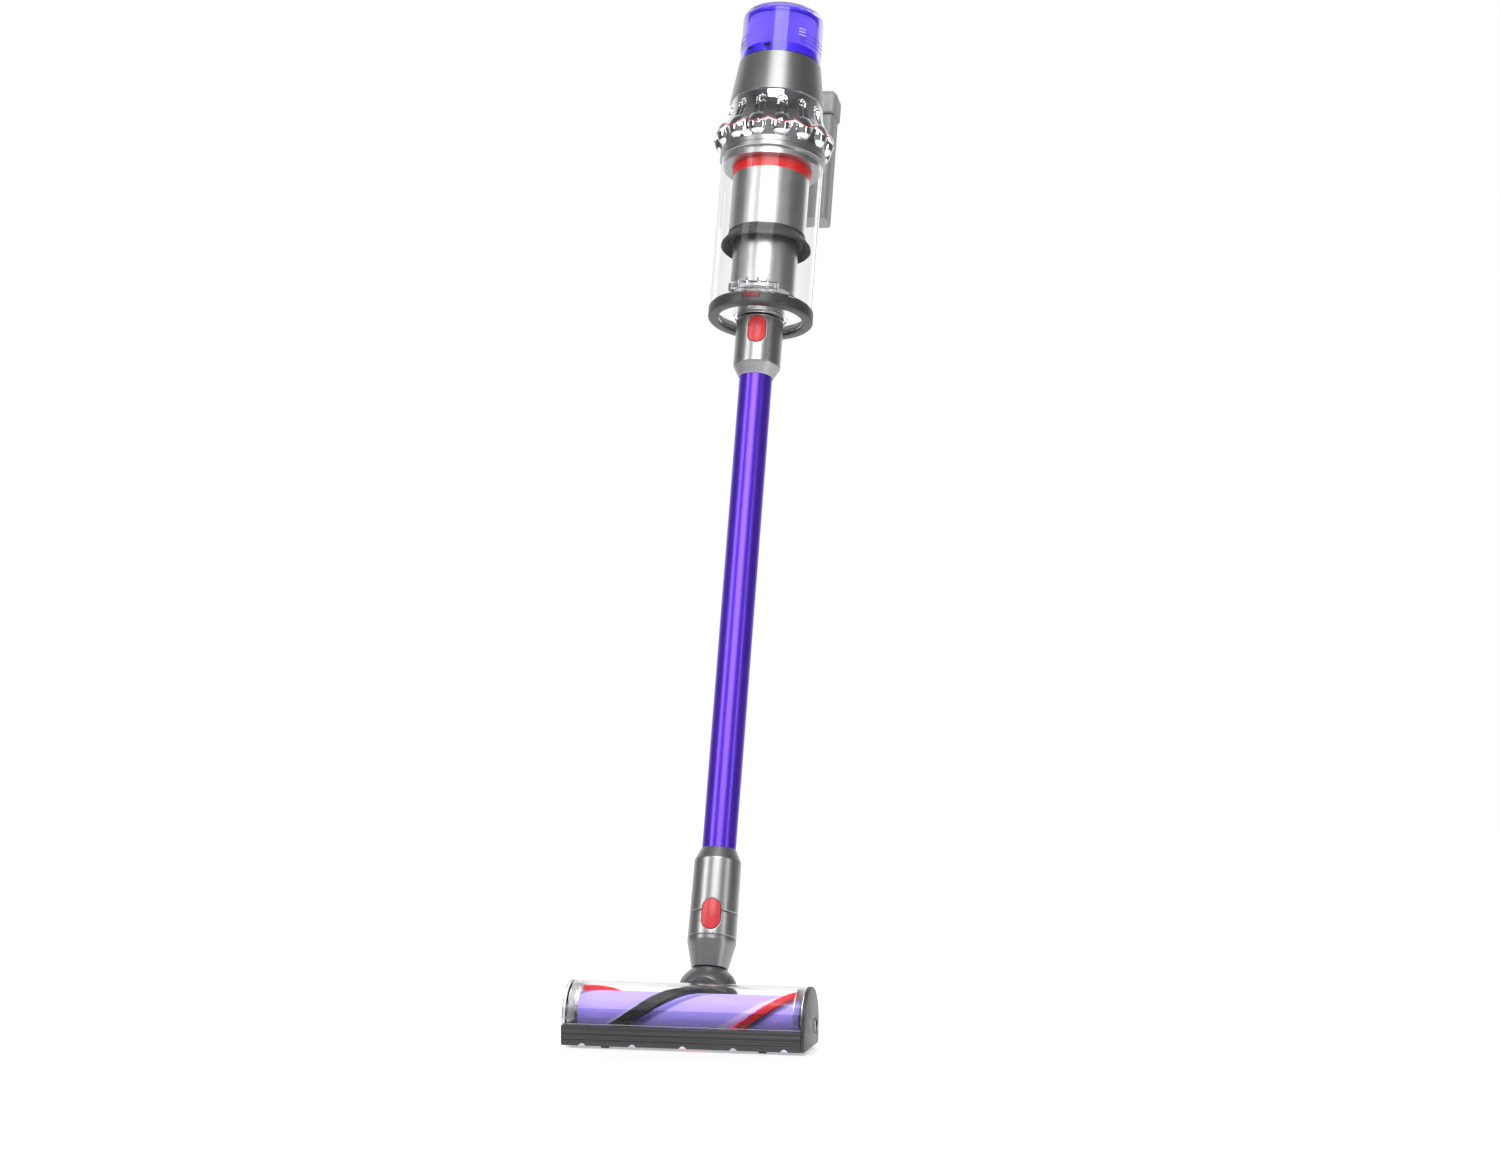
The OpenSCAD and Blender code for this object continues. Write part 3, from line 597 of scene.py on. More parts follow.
# %% Crown rows
ARCH_DOWN = 13.5
ARCH_HALF = 5.3
rows = []
for step in range(0, 61):
    t = step / 60
    height = trim_z + 0.5 + (crown_top - trim_z - 0.5) * t
    base = flare(height)
    arch_top = crown_top - ARCH_DOWN
    over = np.clip(height - arch_top, 0, None)
    reach = np.hypot(base * off, over)
    sunk = 1 - smooth_step(ARCH_HALF - 0.9, ARCH_HALF + 0.3, reach)
    ridge = np.sqrt(np.clip(1 - (base * off / 3.0) ** 2, 0, 1))
    back = 3.3 * ridge * (1 - smooth_step(arch_top - 4, arch_top + 2.5, height))
    radius = base - sunk * (4.0 - back)
    dome = lobe_shell(height, trim_low + 1, 10.4, 13.5, 12.4, 56.0)
    radius = np.maximum(radius, dome)
    blend_in = smooth_step(0, 0.06, t)
    radius = trim_edge * (1 - blend_in) + radius * blend_in
    rows.append((np.minimum(radius, trim_r), height))
rows.append((48.5, crown_top))
rows.append((48.5, crown_top - 14))
rows.append((51.5, crown_top - 32))
rows.append((54.0, trim_low + 2.0))
points, faces = spin_rings(rows, SECTIONS)
crown = make_piece("cyclone_crown_chromed", points, faces, chrome)
settle(crown, "main_unit", "cyclone_crown")
print("crown faces", len(crown.data.polygons))

# %% [markdown]
# Below the trim line the lobes taper inward, like a ring of small bowls.

# %% Bowl rows
rows = []
for step in range(0, 41):
    t = step / 40
    height = trim_z - 0.5 - (trim_z - 0.5 - bowl_low) * t
    wall = 62.0 - 5.0 * t
    shell = lobe_shell(height, trim_low + 2, 10.6, 14.2, 11.6, 55.8)
    radius = np.maximum(wall, shell)
    blend_in = smooth_step(0, 0.08, t)
    radius = trim_edge * (1 - blend_in) + radius * blend_in
    rows.append((np.minimum(radius, trim_r), height))
rows.append((50.0, bowl_low))
rows.append((50.0, trim_low - 1))
points, faces = spin_rings(rows, SECTIONS)
bowls = make_piece("cyclone_bowls_chromed", points, faces, chrome)
settle(bowls, "main_unit", "cyclone_bowls")
print("bowl faces", len(bowls.data.polygons))

# %% [markdown]
# A thin red line runs between crown and bowls and rises in every valley.

# %% Red trim line
rows = [(trim_edge - 1.5, trim_z - 0.45), (trim_edge, trim_z - 0.45),
        (trim_edge, trim_z + 0.45), (trim_edge - 1.5, trim_z + 0.45)]
points, faces = spin_rings(rows, SECTIONS)
trim = make_piece("cyclone_trim_line", points, faces, signal_red)
settle(trim, "main_unit", "cyclone_trim")
print("trim and bowls made")

# %% [markdown]
# ## The roller
# A short violet pile covers the tube. Two strips wind round it like a thread:
# a dense one of dark filaments and a springy one of red bristles. The strips
# are thousands of equal hairs on a helix, which is what Geometry Nodes are
# good at: one tree, two settings.

# %% Measure the roller
tube_low, tube_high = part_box("brush_tube")
roller_axis = Vector((0, (tube_low.y + tube_high.y) / 2, (tube_low.z + tube_high.z) / 2))
tube_r = (tube_high.z - tube_low.z) / 2
strip_low, strip_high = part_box("fibre_strips")
strip_r = (strip_high.z - strip_low.z) / 2
ADVANCE = 0.230
DARK_START = math.radians(266)
RED_START = math.radians(266 + 191)
print("roller radius mm", round(tube_r / MM, 2), "strips reach", round(strip_r / MM, 2))

# %% [markdown]
# The tree starts from a line of points. A point's number says how far along the
# strip its hair stands, and in which of the rows across it.

# %% Geometry Nodes: hairs on a helix
def tree_inputs(name, sockets):
    tree = bpy.data.node_groups.new(name, "GeometryNodeTree")
    tree.interface.new_socket("Geometry", in_out="OUTPUT", socket_type="NodeSocketGeometry")
    for label, kind, value in sockets:
        socket = tree.interface.new_socket(label, in_out="INPUT", socket_type=kind)
        if value is not None:
            socket.default_value = value
    return tree, tree.nodes.new("NodeGroupInput"), tree.nodes.new("NodeGroupOutput")


INT, MATERIAL = "NodeSocketInt", "NodeSocketMaterial"
hair_tree, gin, gout = tree_inputs("helix_hairs", [
    ("Count", INT, 2000), ("Start X", FLOAT, 0.0), ("Length", FLOAT, 0.2),
    ("Start Turn", FLOAT, 0.0), ("Advance", FLOAT, 0.27), ("Half Width", FLOAT, 0.1),
    ("Foot Radius", FLOAT, 0.02), ("Hair Length", FLOAT, 0.007), ("Hair Radius", FLOAT, 0.0002),
    ("Rows", INT, 4), ("Lean", FLOAT, 0.15), ("Seed", INT, 3), ("Material", MATERIAL, None)])
t = hair_tree
line = t.nodes.new("GeometryNodeMeshLine")
link(t, gin.outputs["Count"], line.inputs["Count"])
index = t.nodes.new("GeometryNodeInputIndex").outputs[0]
row = math_node(t, "MODULO", index, gin.outputs["Rows"])
last_row = math_node(t, "SUBTRACT", gin.outputs["Rows"], 1)
across = math_node(t, "SUBTRACT", math_node(t, "MULTIPLY", math_node(
    t, "DIVIDE", row, math_node(t, "MAXIMUM", last_row, 1)), 2), 1)
last = math_node(t, "SUBTRACT", gin.outputs["Count"], 1)
run = math_node(t, "DIVIDE", index, last)
print("hairs are laid out in rows across the strip")

# %% [markdown]
# Hairs that stood exactly in line would look like a comb, so each gets a small
# random shift, tilt and length. The seed is an input, and the same every run.

# %% Hairs: where each one stands
def random_value(tree, low, high, seed_offset):
    node = tree.nodes.new("FunctionNodeRandomValue")
    node.data_type = "FLOAT"
    node.inputs[2].default_value = low
    node.inputs[3].default_value = high
    link(tree, math_node(tree, "ADD", gin.outputs["Seed"], seed_offset), node.inputs["Seed"])
    return node.outputs[1]


place = math_node(t, "ADD", gin.outputs["Start X"],
                  math_node(t, "MULTIPLY", run, gin.outputs["Length"]))
wind = math_node(t, "DIVIDE", math_node(t, "MULTIPLY", math_node(
    t, "MULTIPLY", run, gin.outputs["Length"]), 2 * math.pi), gin.outputs["Advance"])
spread = math_node(t, "MULTIPLY", math_node(t, "ADD", across, random_value(t, -0.12, 0.12, 1)),
                   gin.outputs["Half Width"])
angle = math_node(t, "ADD", math_node(t, "SUBTRACT", gin.outputs["Start Turn"], wind), spread)
cos_a = math_node(t, "COSINE", angle)
sin_a = math_node(t, "SINE", angle)
spot = t.nodes.new("ShaderNodeCombineXYZ")
link(t, place, spot.inputs["X"])
link(t, math_node(t, "MULTIPLY", cos_a, gin.outputs["Foot Radius"]), spot.inputs["Y"])
link(t, math_node(t, "MULTIPLY", sin_a, gin.outputs["Foot Radius"]), spot.inputs["Z"])
move = t.nodes.new("GeometryNodeSetPosition")
link(t, line.outputs[0], move.inputs["Geometry"])
link(t, spot.outputs[0], move.inputs["Position"])
print("foot of every hair is on the tube")

# %% [markdown]
# A hair points straight out from the axis, with a small lean that differs from
# hair to hair.

# %% Hairs: which way each one points
out_way = t.nodes.new("ShaderNodeCombineXYZ")
link(t, random_value(t, -0.09, 0.09, 2), out_way.inputs["X"])
leaned = math_node(t, "ADD", angle, math_node(t, "MULTIPLY", across, gin.outputs["Lean"]))
link(t, math_node(t, "COSINE", leaned), out_way.inputs["Y"])
link(t, math_node(t, "SINE", leaned), out_way.inputs["Z"])
align = t.nodes.new("FunctionNodeAlignRotationToVector")
align.axis = "Z"
link(t, out_way.outputs[0], align.inputs["Vector"])
print("hairs point away from the roller's axis")

# %% [markdown]
# One thin cone stands for a hair. It is copied to every point, turned, scaled
# to its own length, and the copies are made real so that the export sees them.

# %% Hairs: one hair, copied to every point
hair = t.nodes.new("GeometryNodeMeshCone")
hair.fill_type = "NGON"
hair.inputs["Vertices"].default_value = 4
hair.inputs["Side Segments"].default_value = 1
link(t, math_node(t, "MULTIPLY", gin.outputs["Hair Radius"], 0.6), hair.inputs["Radius Top"])
link(t, gin.outputs["Hair Radius"], hair.inputs["Radius Bottom"])
link(t, gin.outputs["Hair Length"], hair.inputs["Depth"])
copies = t.nodes.new("GeometryNodeInstanceOnPoints")
link(t, move.outputs[0], copies.inputs["Points"])
link(t, hair.outputs["Mesh"], copies.inputs["Instance"])
link(t, align.outputs[0], copies.inputs["Rotation"])
tall = t.nodes.new("ShaderNodeCombineXYZ")
tall.inputs["X"].default_value = 1
tall.inputs["Y"].default_value = 1
link(t, random_value(t, 0.93, 1.0, 3), tall.inputs["Z"])
link(t, tall.outputs[0], copies.inputs["Scale"])
real = t.nodes.new("GeometryNodeRealizeInstances")
link(t, copies.outputs[0], real.inputs[0])
paint = t.nodes.new("GeometryNodeSetMaterial")
link(t, real.outputs[0], paint.inputs["Geometry"])
link(t, gin.outputs["Material"], paint.inputs["Material"])
link(t, paint.outputs[0], gout.inputs[0])
print("helix_hairs tree has", len(t.nodes), "nodes")


# %% [markdown]
# A helper runs a tree with given settings and keeps the result as a plain mesh.

# %% Run a tree and keep its mesh
def grown(name, tree, values, shift=Vector((0, 0, 0)), place=None):
    """Evaluates a Geometry Nodes tree on its own and returns a plain mesh object."""
    mesh = bpy.data.meshes.new(name)
    mesh.from_pydata([(0, 0, 0)], [], [])
    obj = bpy.data.objects.new(name, mesh)
    scene.collection.objects.link(obj)
    grow = obj.modifiers.new("grow", "NODES")
    grow.node_group = tree
    sockets = {s.name: s.identifier for s in tree.interface.items_tree
               if s.item_type == "SOCKET" and s.in_out == "INPUT"}
    for label, value in values.items():
        grow[sockets[label]] = value
    apply_modifiers(obj)
    obj.data.transform(place if place else Matrix.Translation(shift))
    return obj


fibre_black = finish("dark_fibres", (0.032, 0.032, 0.034), 0.6, bump=0.005)
bristle_red = finish("red_bristles", (0.95, 0.05, 0.06), 0.4, bump=0.005)
first_x = strip_low.x + 0.0006
strip_len = strip_high.x - strip_low.x - 0.0012
entry = (first_x - tube_low.x) / ADVANCE * 2 * math.pi
common = {"Start X": first_x, "Length": strip_len, "Advance": ADVANCE,
          "Foot Radius": tube_r - 0.0002, "Hair Length": strip_r - tube_r - 0.0001}
dark = grown("dark_fibre_strip", hair_tree, {
    **common, "Count": 15600, "Rows": 13, "Start Turn": DARK_START - entry,
    "Half Width": 0.245, "Hair Radius": 0.00055, "Lean": 0.0, "Seed": 11,
    "Material": fibre_black}, roller_axis)
settle(dark, "brush", "fibre_strips")
red = grown("red_bristle_strip", hair_tree, {
    **common, "Count": 4200, "Rows": 7, "Start Turn": RED_START - entry,
    "Half Width": 0.15, "Hair Radius": 0.0005, "Lean": 0.0, "Seed": 23,
    "Material": bristle_red}, roller_axis)
settle(red, "brush", "bristle_strips")
print("hair faces:", len(dark.data.polygons), len(red.data.polygons))

# %% [markdown]
# The pile itself is too fine to model. Its finish winds with the strips: a
# helical coordinate, worked out from the angle and the place along the tube,
# gives the paler and darker lines beside each strip.

# %% The roller's pile
pile = bpy.data.materials.new("violet_pile")
pile.use_nodes = True
t = pile.node_tree
shader = t.nodes["Principled BSDF"]
where = t.nodes.new("ShaderNodeTexCoord").outputs["Object"]
centre = t.nodes.new("ShaderNodeMapping")
centre.inputs["Location"].default_value = -roller_axis
link(t, where, centre.inputs["Vector"])
apart = t.nodes.new("ShaderNodeSeparateXYZ")
link(t, centre.outputs[0], apart.inputs[0])
polar = math_node(t, "ARCTAN2", apart.outputs["Z"], apart.outputs["Y"])
along = math_node(t, "MULTIPLY", math_node(t, "SUBTRACT", apart.outputs["X"], tube_low.x),
                  2 * math.pi / ADVANCE)
helix = math_node(t, "DIVIDE", math_node(t, "SUBTRACT", math_node(
    t, "ADD", polar, along), DARK_START), 2 * math.pi)
phase = math_node(t, "FRACT", math_node(t, "ADD", helix, 10))
ramp = t.nodes.new("ShaderNodeValToRGB")
ramp.color_ramp.interpolation = "LINEAR"
VIOLET, PALE, DEEP = (0.4, 0.31, 0.98, 1), (0.6, 0.52, 1.0, 1), (0.16, 0.13, 0.42, 1)
stops = [(0.0, VIOLET), (0.06, VIOLET), (0.075, DEEP), (0.1, DEEP), (0.115, VIOLET),
         (0.44, VIOLET), (0.455, PALE), (0.475, PALE), (0.49, VIOLET),
         (0.545, VIOLET), (0.56, DEEP), (0.585, DEEP), (0.6, VIOLET),
         (0.93, VIOLET), (0.945, PALE), (0.97, PALE), (0.985, VIOLET)]
elements = ramp.color_ramp.elements
for index, (position, colour) in enumerate(stops):
    stop = elements[index] if index < 2 else elements.new(position)
    stop.position = position
    stop.color = colour
link(t, phase, ramp.inputs[0])
fuzz = add(t, "ShaderNodeTexNoise", Scale=1800.0, Detail=3.0)
link(t, where, fuzz.inputs["Vector"])
tint = t.nodes.new("ShaderNodeVectorMath")
tint.operation = "SCALE"
link(t, ramp.outputs["Color"], tint.inputs[0])
link(t, math_node(t, "ADD", math_node(t, "MULTIPLY", fuzz.outputs["Fac"], 0.35), 0.82),
     tint.inputs["Scale"])
link(t, tint.outputs[0], shader.inputs["Base Color"])
relief = t.nodes.new("ShaderNodeBump")
relief.inputs["Strength"].default_value = 0.7
relief.inputs["Distance"].default_value = 0.15 * MM
link(t, fuzz.outputs["Fac"], relief.inputs["Height"])
link(t, relief.outputs[0], shader.inputs["Normal"])
shader.inputs["Roughness"].default_value = 0.8
shader.inputs["Sheen Weight"].default_value = 0.25
NODES["brush_tube"].data.materials.clear()
NODES["brush_tube"].data.materials.append(pile)
print("pile stops", len(stops))

# %% [markdown]
# ## The filter
# The filter is one long strip of paper folded into deep pleats and bent round
# into a ring. A star outline with one point for each pleat, pulled up to a
# height, is that fold.

# %% Geometry Nodes: pleated ring
pleat_tree, gin, gout = tree_inputs("pleated_ring", [
    ("Pleats", INT, 90), ("Inner", FLOAT, 30.0), ("Outer", FLOAT, 38.0),
    ("Height", FLOAT, 40.0), ("Material", MATERIAL, None)])
t = pleat_tree
star = t.nodes.new("GeometryNodeCurveStar")
link(t, gin.outputs["Pleats"], star.inputs["Points"])
link(t, gin.outputs["Inner"], star.inputs["Inner Radius"])
link(t, gin.outputs["Outer"], star.inputs["Outer Radius"])
fold = t.nodes.new("GeometryNodeFillCurve")
link(t, star.outputs[0], fold.inputs["Curve"])
pull = t.nodes.new("GeometryNodeExtrudeMesh")
pull.mode = "FACES"
pull.inputs["Individual"].default_value = False
link(t, fold.outputs[0], pull.inputs["Mesh"])
link(t, gin.outputs["Height"], pull.inputs["Offset Scale"])
turned_over = t.nodes.new("GeometryNodeFlipFaces")
link(t, fold.outputs[0], turned_over.inputs["Mesh"])
both = t.nodes.new("GeometryNodeJoinGeometry")
link(t, turned_over.outputs[0], both.inputs[0])
link(t, pull.outputs["Mesh"], both.inputs[0])
weld = t.nodes.new("GeometryNodeMergeByDistance")
weld.inputs["Distance"].default_value = 0.001
link(t, both.outputs[0], weld.inputs[0])
real = t.nodes.new("GeometryNodeRealizeInstances")
link(t, weld.outputs[0], real.inputs[0])
paint = t.nodes.new("GeometryNodeSetMaterial")
link(t, real.outputs[0], paint.inputs["Geometry"])
link(t, gin.outputs["Material"], paint.inputs["Material"])
link(t, paint.outputs[0], gout.inputs[0])

filter_paper = finish("filter_paper", (0.36, 0.27, 0.86), 0.7, grain=0.8, grain_scale=1800,
                      bump=0.05)
media_low, media_high, media_r = span("filter_media")
media = grown("filter_pleats", pleat_tree, {
    "Pleats": 110, "Inner": media_r - 3.2, "Outer": media_r - 0.1,
    "Height": media_high - media_low, "Material": filter_paper},
    place=LEANING @ Matrix.Translation((0, 0, media_low)))
settle(media, "filter_unit", "filter_media")
print("pleat faces", len(media.data.polygons))

# %% [markdown]
# The cap has small moulded bars and dark notches round it. One helper lays a
# rounded bar flat on the leaning cylinder.

# %% Marks on the filter cap
cap_low_z, cap_top_z, cap_r = span("filter_cap")


def tangent_bar(name, angle_deg, height, radius, wide, tall, deep, material, body):
    """A small bar lying on a leaning cylinder, its angle from the front towards +X."""
    a = math.radians(angle_deg)
    bar = bmesh.new()
    bmesh.ops.create_cube(bar, size=1.0, matrix=Matrix.Diagonal((wide, deep, tall, 1.0)))
    bmesh.ops.bevel(bar, geom=bar.edges[:], offset=min(wide, tall, deep) * 0.3, segments=2,
                    affect="EDGES", profile=0.5)
    mesh = bpy.data.meshes.new(name)
    bar.to_mesh(mesh)
    bar.free()
    mesh.transform(Matrix.Translation((radius * math.sin(a), -radius * math.cos(a), height)) @
                   Matrix.Rotation(a, 4, "Z"))
    mesh.transform(LEANING)
    obj = bpy.data.objects.new(name, mesh)
    scene.collection.objects.link(obj)
    mesh.materials.append(material)
    return settle(obj, body, None)


pale_mark = finish("pale_mark", (0.75, 0.7, 1.0), 0.3)
for side_deg in (-62, 42):
    for row_index in range(3):
        tangent_bar("cap_mark_%d_%d" % (side_deg + 90, row_index), side_deg,
                    cap_low_z + 23 + 3.6 * row_index, cap_r - 1.0, 9.0, 0.9, 1.2, pale_mark,
                    "filter_unit")
for number, side_deg in enumerate((-38, -8, 160)):
    tangent_bar("cap_notch_%d" % number, side_deg, cap_low_z + 8.0, cap_r - 1.2, 7.5, 3.2, 1.4,
                black_gloss, "filter_unit")
print("filter cap", round(cap_low_z, 1), round(cap_top_z, 1), round(cap_r, 1))

# %% [markdown]
# ## Softer handle and battery
# Moulded handles have no hard edges anywhere. A copy of the solid is rebuilt
# from small even cells and relaxed, which rounds every edge by the same amount.

# %% Rounded grip
def relaxed_copy(node, material, cell=1.0, rounds=6):
    mesh = NODES[node].data.copy()
    mesh.materials.clear()
    tidy = bmesh.new()
    tidy.from_mesh(mesh)
    bmesh.ops.remove_doubles(tidy, verts=tidy.verts, dist=2e-6)
    tidy.to_mesh(mesh)
    tidy.free()
    obj = bpy.data.objects.new(node + "_moulded", mesh)
    scene.collection.objects.link(obj)
    cells = obj.modifiers.new("cells", "REMESH")
    cells.mode = "VOXEL"
    cells.voxel_size = cell * MM
    relax = obj.modifiers.new("relax", "SMOOTH")
    relax.iterations = rounds
    relax.factor = 0.6
    apply_modifiers(obj)
    obj.data.materials.clear()
    obj.data.materials.append(material)
    obj.data.shade_smooth()
    return obj


grip = relaxed_copy("handle", light_grey, 1.3, 8)
settle(grip, "main_unit", "handle")
case = relaxed_copy("battery_case", light_grey, 1.2, 5)
settle(case, "battery", "battery_case")
for node, body in (("upper_collar", "wand"), ("lower_collar", "wand"),
                   ("neck_sleeve", "neck_socket")):
    sleeve = relaxed_copy(node, nickel, 0.65, 3)
    settle(sleeve, body, node)
    print(node, "faces", len(sleeve.data.polygons))
print("grip faces", len(grip.data.polygons), "battery faces", len(case.data.polygons))

# %% [markdown]
# ## Edges that catch the light
# Moulded and machined parts never end in a knife edge. These solids get a
# small round on every sharp edge.

# %% Round the edges
ROUNDED = [
    ("front_strip", grooved, 0.7, "head", "dark_plastic"),
    ("end_cap", dark_plastic, 0.8, "end_unit", "dark_plastic"),
    ("end_lock", neck_grey, 0.3, "end_key", "neck_grey"),
    ("base_ring", dark_plastic, 0.5, "bin_base", "dark_plastic"),
    ("upper_button", button_red, 0.5, "upper_key", "red_button"),
    ("lower_button", button_red, 0.5, "lower_key", "red_button"),
    ("battery_catch", signal_red, 0.6, "battery_key", "red_plastic"),
    ("trigger", signal_red, 0.8, "trigger_lever", "red_plastic"),
    ("bin_release", signal_red, 0.6, "release_slider", "red_plastic"),
    ("base_catch", painted_shade_red, 0.3, "base_catch_key", "red_plastic"),
]
for node, material, width, body, slot in ROUNDED:
    piece = rounded_copy(node, material, width)
    settle(piece, body, node)
    print(node, "rounded by", width, "mm:", len(piece.data.polygons), "faces")

# %% [markdown]
# ## Head details
# The clear cover has frosted bands moulded into both ends, and the dark strip
# below it is grooved from end to end. Thin pale shiny lines at the band edges,
# at the cover's end and along its front lip stand for the glints on those edges:
# painted highlights.

# %% Bands, painted glints and grooves
cover_low, cover_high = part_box("clear_cover")
COVER_AXIS_Y = -0.028
COVER_AXIS_Z = 0.0267
BAND_R = 0.0347
RIM_R = 0.0366


def arc_band(name, x_low, x_high, radius, thick, start_deg, end_deg, material, body):
    """A curved band round the cover's axis, angles counted from the back over the top."""
    steps = 40
    points = []
    for i in range(steps + 1):
        a = math.radians(start_deg + (end_deg - start_deg) * i / steps)
        for x in (x_low, x_high):
            for rad in (radius, radius - thick):
                points.append((x, COVER_AXIS_Y + rad * math.cos(a),
                               COVER_AXIS_Z + rad * math.sin(a)))
    faces = []
    for i in range(steps):
        k = 4 * i
        faces += [(k, k + 4, k + 6, k + 2), (k + 1, k + 3, k + 7, k + 5),
                  (k, k + 1, k + 5, k + 4), (k + 2, k + 6, k + 7, k + 3)]
    faces += [(0, 2, 3, 1), (4 * steps, 4 * steps + 1, 4 * steps + 3, 4 * steps + 2)]
    mesh = bpy.data.meshes.new(name)
    mesh.from_pydata(points, [], faces)
    mesh.validate()
    obj = bpy.data.objects.new(name, mesh)
    scene.collection.objects.link(obj)
    mesh.materials.append(material)
    return settle(obj, body, None)


frosted = clear_finish("frosted_band", (0.62, 0.62, 0.63), 0.45, 1.3, 0.62)
# a pale shiny finish on parts of the clear cover, standing for glints on its edges: painted
# highlight
glint_finish = finish("painted_glint", (0.85, 0.85, 0.9), 0.12, 0.85)
bands = [(-0.1195, -0.1128), (0.1125, 0.1205)]
for index, (low, high) in enumerate(bands):
    arc_band("frosted_band_%d" % index, low, high, BAND_R, 0.0006, 8, 176, frosted, "head")
# pale lines at the band edges and the cover's end: painted highlights
for index, x in enumerate((-0.1248, -0.1196, -0.1132, 0.1123, 0.1207)):
    arc_band("rim_line_%d" % index, x, x + 0.0007, RIM_R, 0.0009, 8, 176, glint_finish, "head")
# a thin pale rod along the front lip, for the glint on the lip's edge: painted highlight
lip = bmesh.new()
bmesh.ops.create_cone(lip, cap_ends=True, segments=10, radius1=0.0005, radius2=0.0005,
                      depth=0.2435,
                      matrix=Matrix.Translation((-0.0015, -0.0647, 0.0243)) @
                      Matrix.Rotation(math.pi / 2, 4, "Y"))
lip_mesh = bpy.data.meshes.new("lip_glint_rod")
lip.to_mesh(lip_mesh)
lip.free()
lip_glint_rod = bpy.data.objects.new("lip_glint_rod", lip_mesh)
scene.collection.objects.link(lip_glint_rod)
lip_mesh.materials.append(glint_finish)
settle(lip_glint_rod, "head", None)
print("cover box mm", [round(v / MM, 1) for v in (*cover_low, *cover_high)])

# %% [markdown]
# ## Studio
# A pale floor, white surroundings for the eye, and dark sides with bright soft
# panels for the metal to mirror: polished parts only look like metal when they
# have something dark and something bright to reflect.

# %% Camera
camera_data = bpy.data.cameras.new("camera")
camera_data.lens = 96
camera_data.sensor_width = 36
camera_data.clip_end = 50
camera = bpy.data.objects.new("camera", camera_data)
camera.location = (0.9019, -3.9453, 0.6433)
view_way = Vector((-0.20956162, 0.97681107, -0.04386414))
camera.rotation_euler = view_way.to_track_quat("-Z", "Y").to_euler()
scene.collection.objects.link(camera)
scene.camera = camera
scene.view_settings.view_transform = "Standard"
print("camera at", tuple(round(v, 3) for v in camera.location))

# %% [markdown]
# The floor is a smooth pale disc. A little light of its own keeps it white up
# to the edge, and a low roughness leaves the faint mirror image under the head.

# %% Floor
FLOOR_R = 2.2
FLOOR_Y = 0.2
FLOOR_SIDES = 128
floor_mesh = bpy.data.meshes.new("floor")
disc = [(FLOOR_R * math.cos(i * 2 * math.pi / FLOOR_SIDES),
         FLOOR_Y + FLOOR_R * math.sin(i * 2 * math.pi / FLOOR_SIDES), 0)
        for i in range(FLOOR_SIDES)]
floor_mesh.from_pydata(disc, [], [tuple(range(FLOOR_SIDES))])
floor = bpy.data.objects.new("floor", floor_mesh)
scene.collection.objects.link(floor)
floor_finish = bpy.data.materials.new("pale_floor")
floor_finish.use_nodes = True
floor_shader = floor_finish.node_tree.nodes["Principled BSDF"]
floor_shader.inputs["Base Color"].default_value = (0.86, 0.86, 0.86, 1)
floor_shader.inputs["Roughness"].default_value = 0.07
floor_shader.inputs["IOR"].default_value = 1.3
floor_shader.inputs["Emission Color"].default_value = (1, 1, 1, 1)
floor_shader.inputs["Emission Strength"].default_value = 0.42
floor_mesh.materials.append(floor_finish)
print("floor radius", FLOOR_R, "m")

# %% [markdown]
# A plain white world would make every polished part look like white paper. So
# the eye, and anything seen straight through clear plastic, gets white, while
# mirrored rays get a ramp that is darker beside the camera than behind it.

# %% Surroundings
world = bpy.data.worlds.new("studio")
scene.world = world
world.use_nodes = True
t = world.node_tree
t.nodes.clear()
direction = t.nodes.new("ShaderNodeTexCoord").outputs["Generated"]
to_camera = Vector((camera.location.x, camera.location.y, 0)).normalized()
facing = t.nodes.new("ShaderNodeVectorMath")
facing.operation = "DOT_PRODUCT"
facing.inputs[1].default_value = to_camera
link(t, direction, facing.inputs[0])
ramp = t.nodes.new("ShaderNodeValToRGB")
ramp.color_ramp.elements[0].position = 0.0
ramp.color_ramp.elements[0].color = (0.95, 0.95, 0.95, 1)
ramp.color_ramp.elements[1].position = 1.0
ramp.color_ramp.elements[1].color = (0.3, 0.3, 0.3, 1)
for position, value in ((0.1, 0.85), (0.22, 0.2), (0.55, 0.07), (0.82, 0.16)):
    stop = ramp.color_ramp.elements.new(position)
    stop.color = (value, value, value, 1)
half_facing = math_node(t, "MULTIPLY", facing.outputs["Value"], 0.5)
link(t, math_node(t, "ADD", half_facing, 0.5), ramp.inputs[0])
studio_light = t.nodes.new("ShaderNodeBackground")
link(t, ramp.outputs[0], studio_light.inputs["Color"])
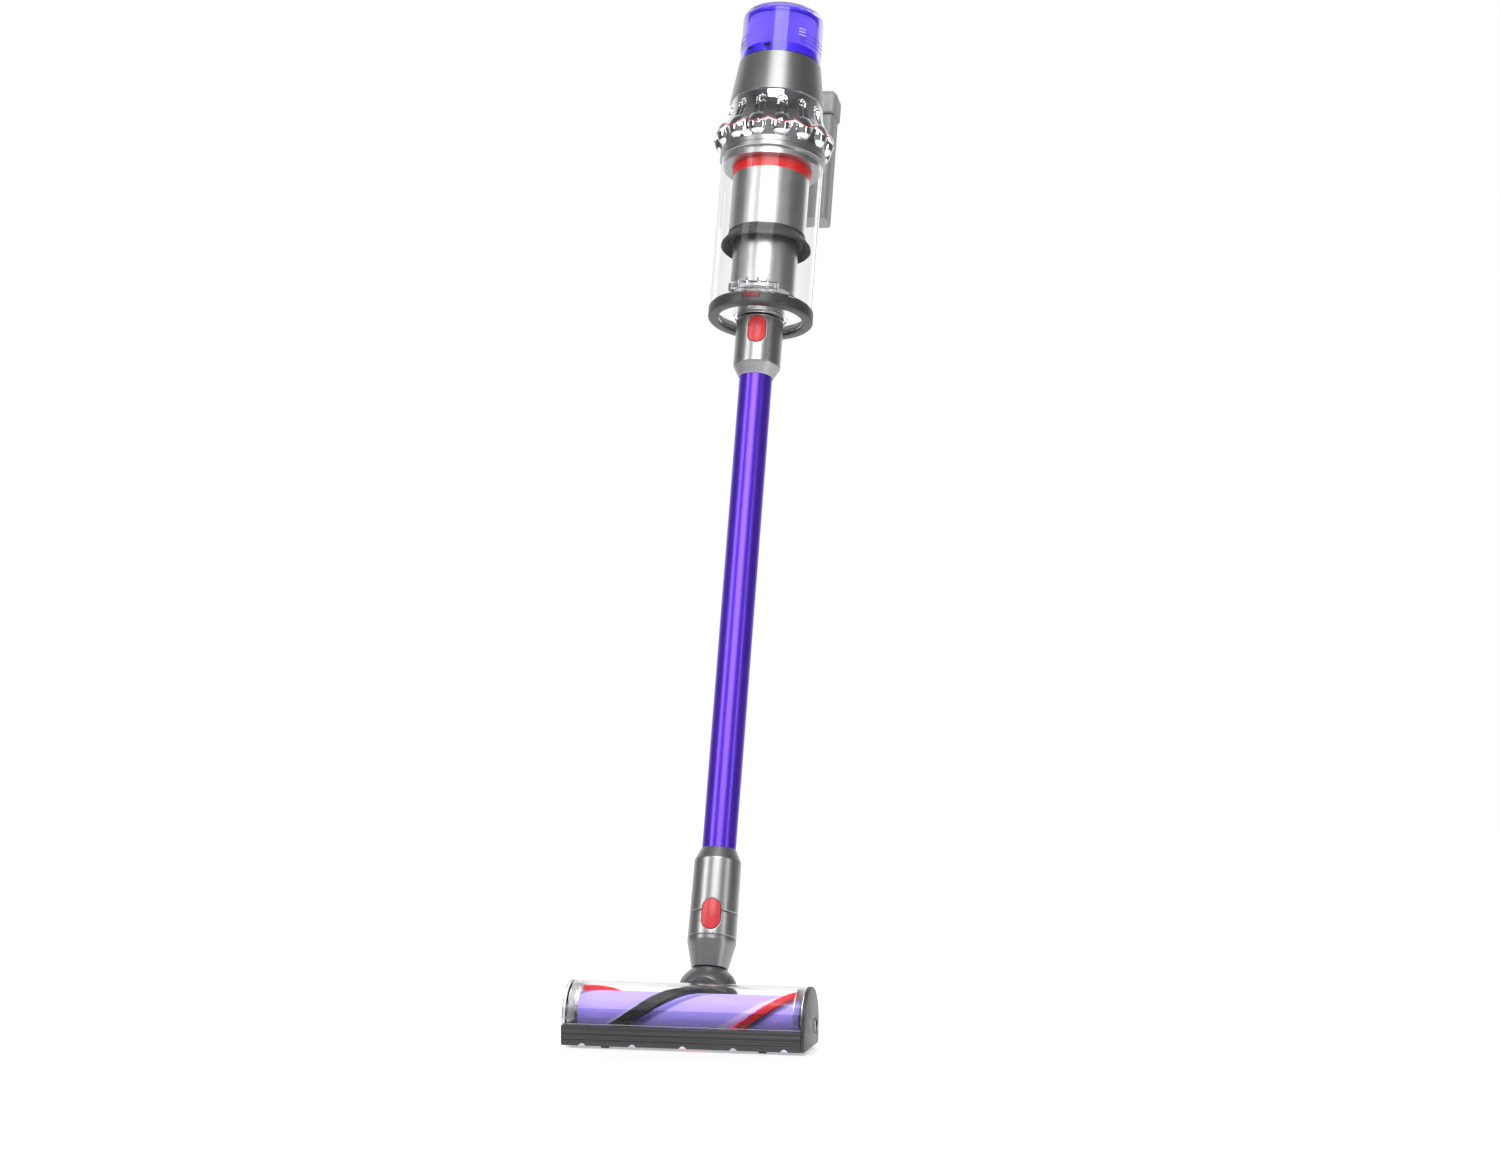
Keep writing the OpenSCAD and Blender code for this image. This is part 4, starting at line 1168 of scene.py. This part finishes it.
studio_light.inputs["Strength"].default_value = 1.0
backdrop = t.nodes.new("ShaderNodeBackground")
backdrop.inputs["Color"].default_value = (1, 1, 1, 1)
rays = t.nodes.new("ShaderNodeLightPath")
choose = t.nodes.new("ShaderNodeMixShader")
bounces = math_node(t, "ADD", rays.outputs["Glossy Depth"], rays.outputs["Diffuse Depth"])
through = math_node(t, "MULTIPLY", rays.outputs["Is Transmission Ray"],
                    math_node(t, "LESS_THAN", bounces, 0.5))
seen = math_node(t, "MAXIMUM", rays.outputs["Is Camera Ray"], through)
link(t, seen, choose.inputs[0])
link(t, studio_light.outputs[0], choose.inputs[1])
link(t, backdrop.outputs[0], choose.inputs[2])
out = t.nodes.new("ShaderNodeOutputWorld")
link(t, choose.outputs[0], out.inputs[0])
print("world ramp stops", len(ramp.color_ramp.elements))

# %% [markdown]
# Five soft panels light the machine: a large one above the camera, one at each
# side for long bright lines on the tubes, one overhead and one from behind.
# The last two aren't mirrored, because their shapes would show on the chrome.

# %% Soft panels
PANEL_AIM = Vector((0, 0.25, 0.6))


def panel(name, turn_deg, distance, height, width, tall, power):
    """An upright soft panel, its turn counted from the front towards +X."""
    turn = math.radians(turn_deg)
    data = bpy.data.lights.new(name, "AREA")
    data.shape = "RECTANGLE"
    data.size = width
    data.size_y = tall
    data.energy = power
    obj = bpy.data.objects.new(name, data)
    obj.location = (PANEL_AIM.x + distance * math.sin(turn),
                    PANEL_AIM.y - distance * math.cos(turn), height)
    toward = PANEL_AIM - obj.location
    obj.rotation_euler = toward.to_track_quat("-Z", "Y").to_euler()
    scene.collection.objects.link(obj)
    return obj


panel("key_panel", 10, 2.5, 3.25, 2.2, 2.6, 80)
panel("right_strip", 66, 3.0, 0.9, 0.35, 2.4, 11)
panel("left_panel", -48, 2.8, 1.9, 0.8, 2.2, 24)
top = panel("top_panel", 10, 0.5, 3.2, 2.4, 2.4, 34)
top.visible_glossy = False
back = panel("back_panel", 165, 3.0, 1.6, 1.6, 2.0, 10)
back.visible_glossy = False
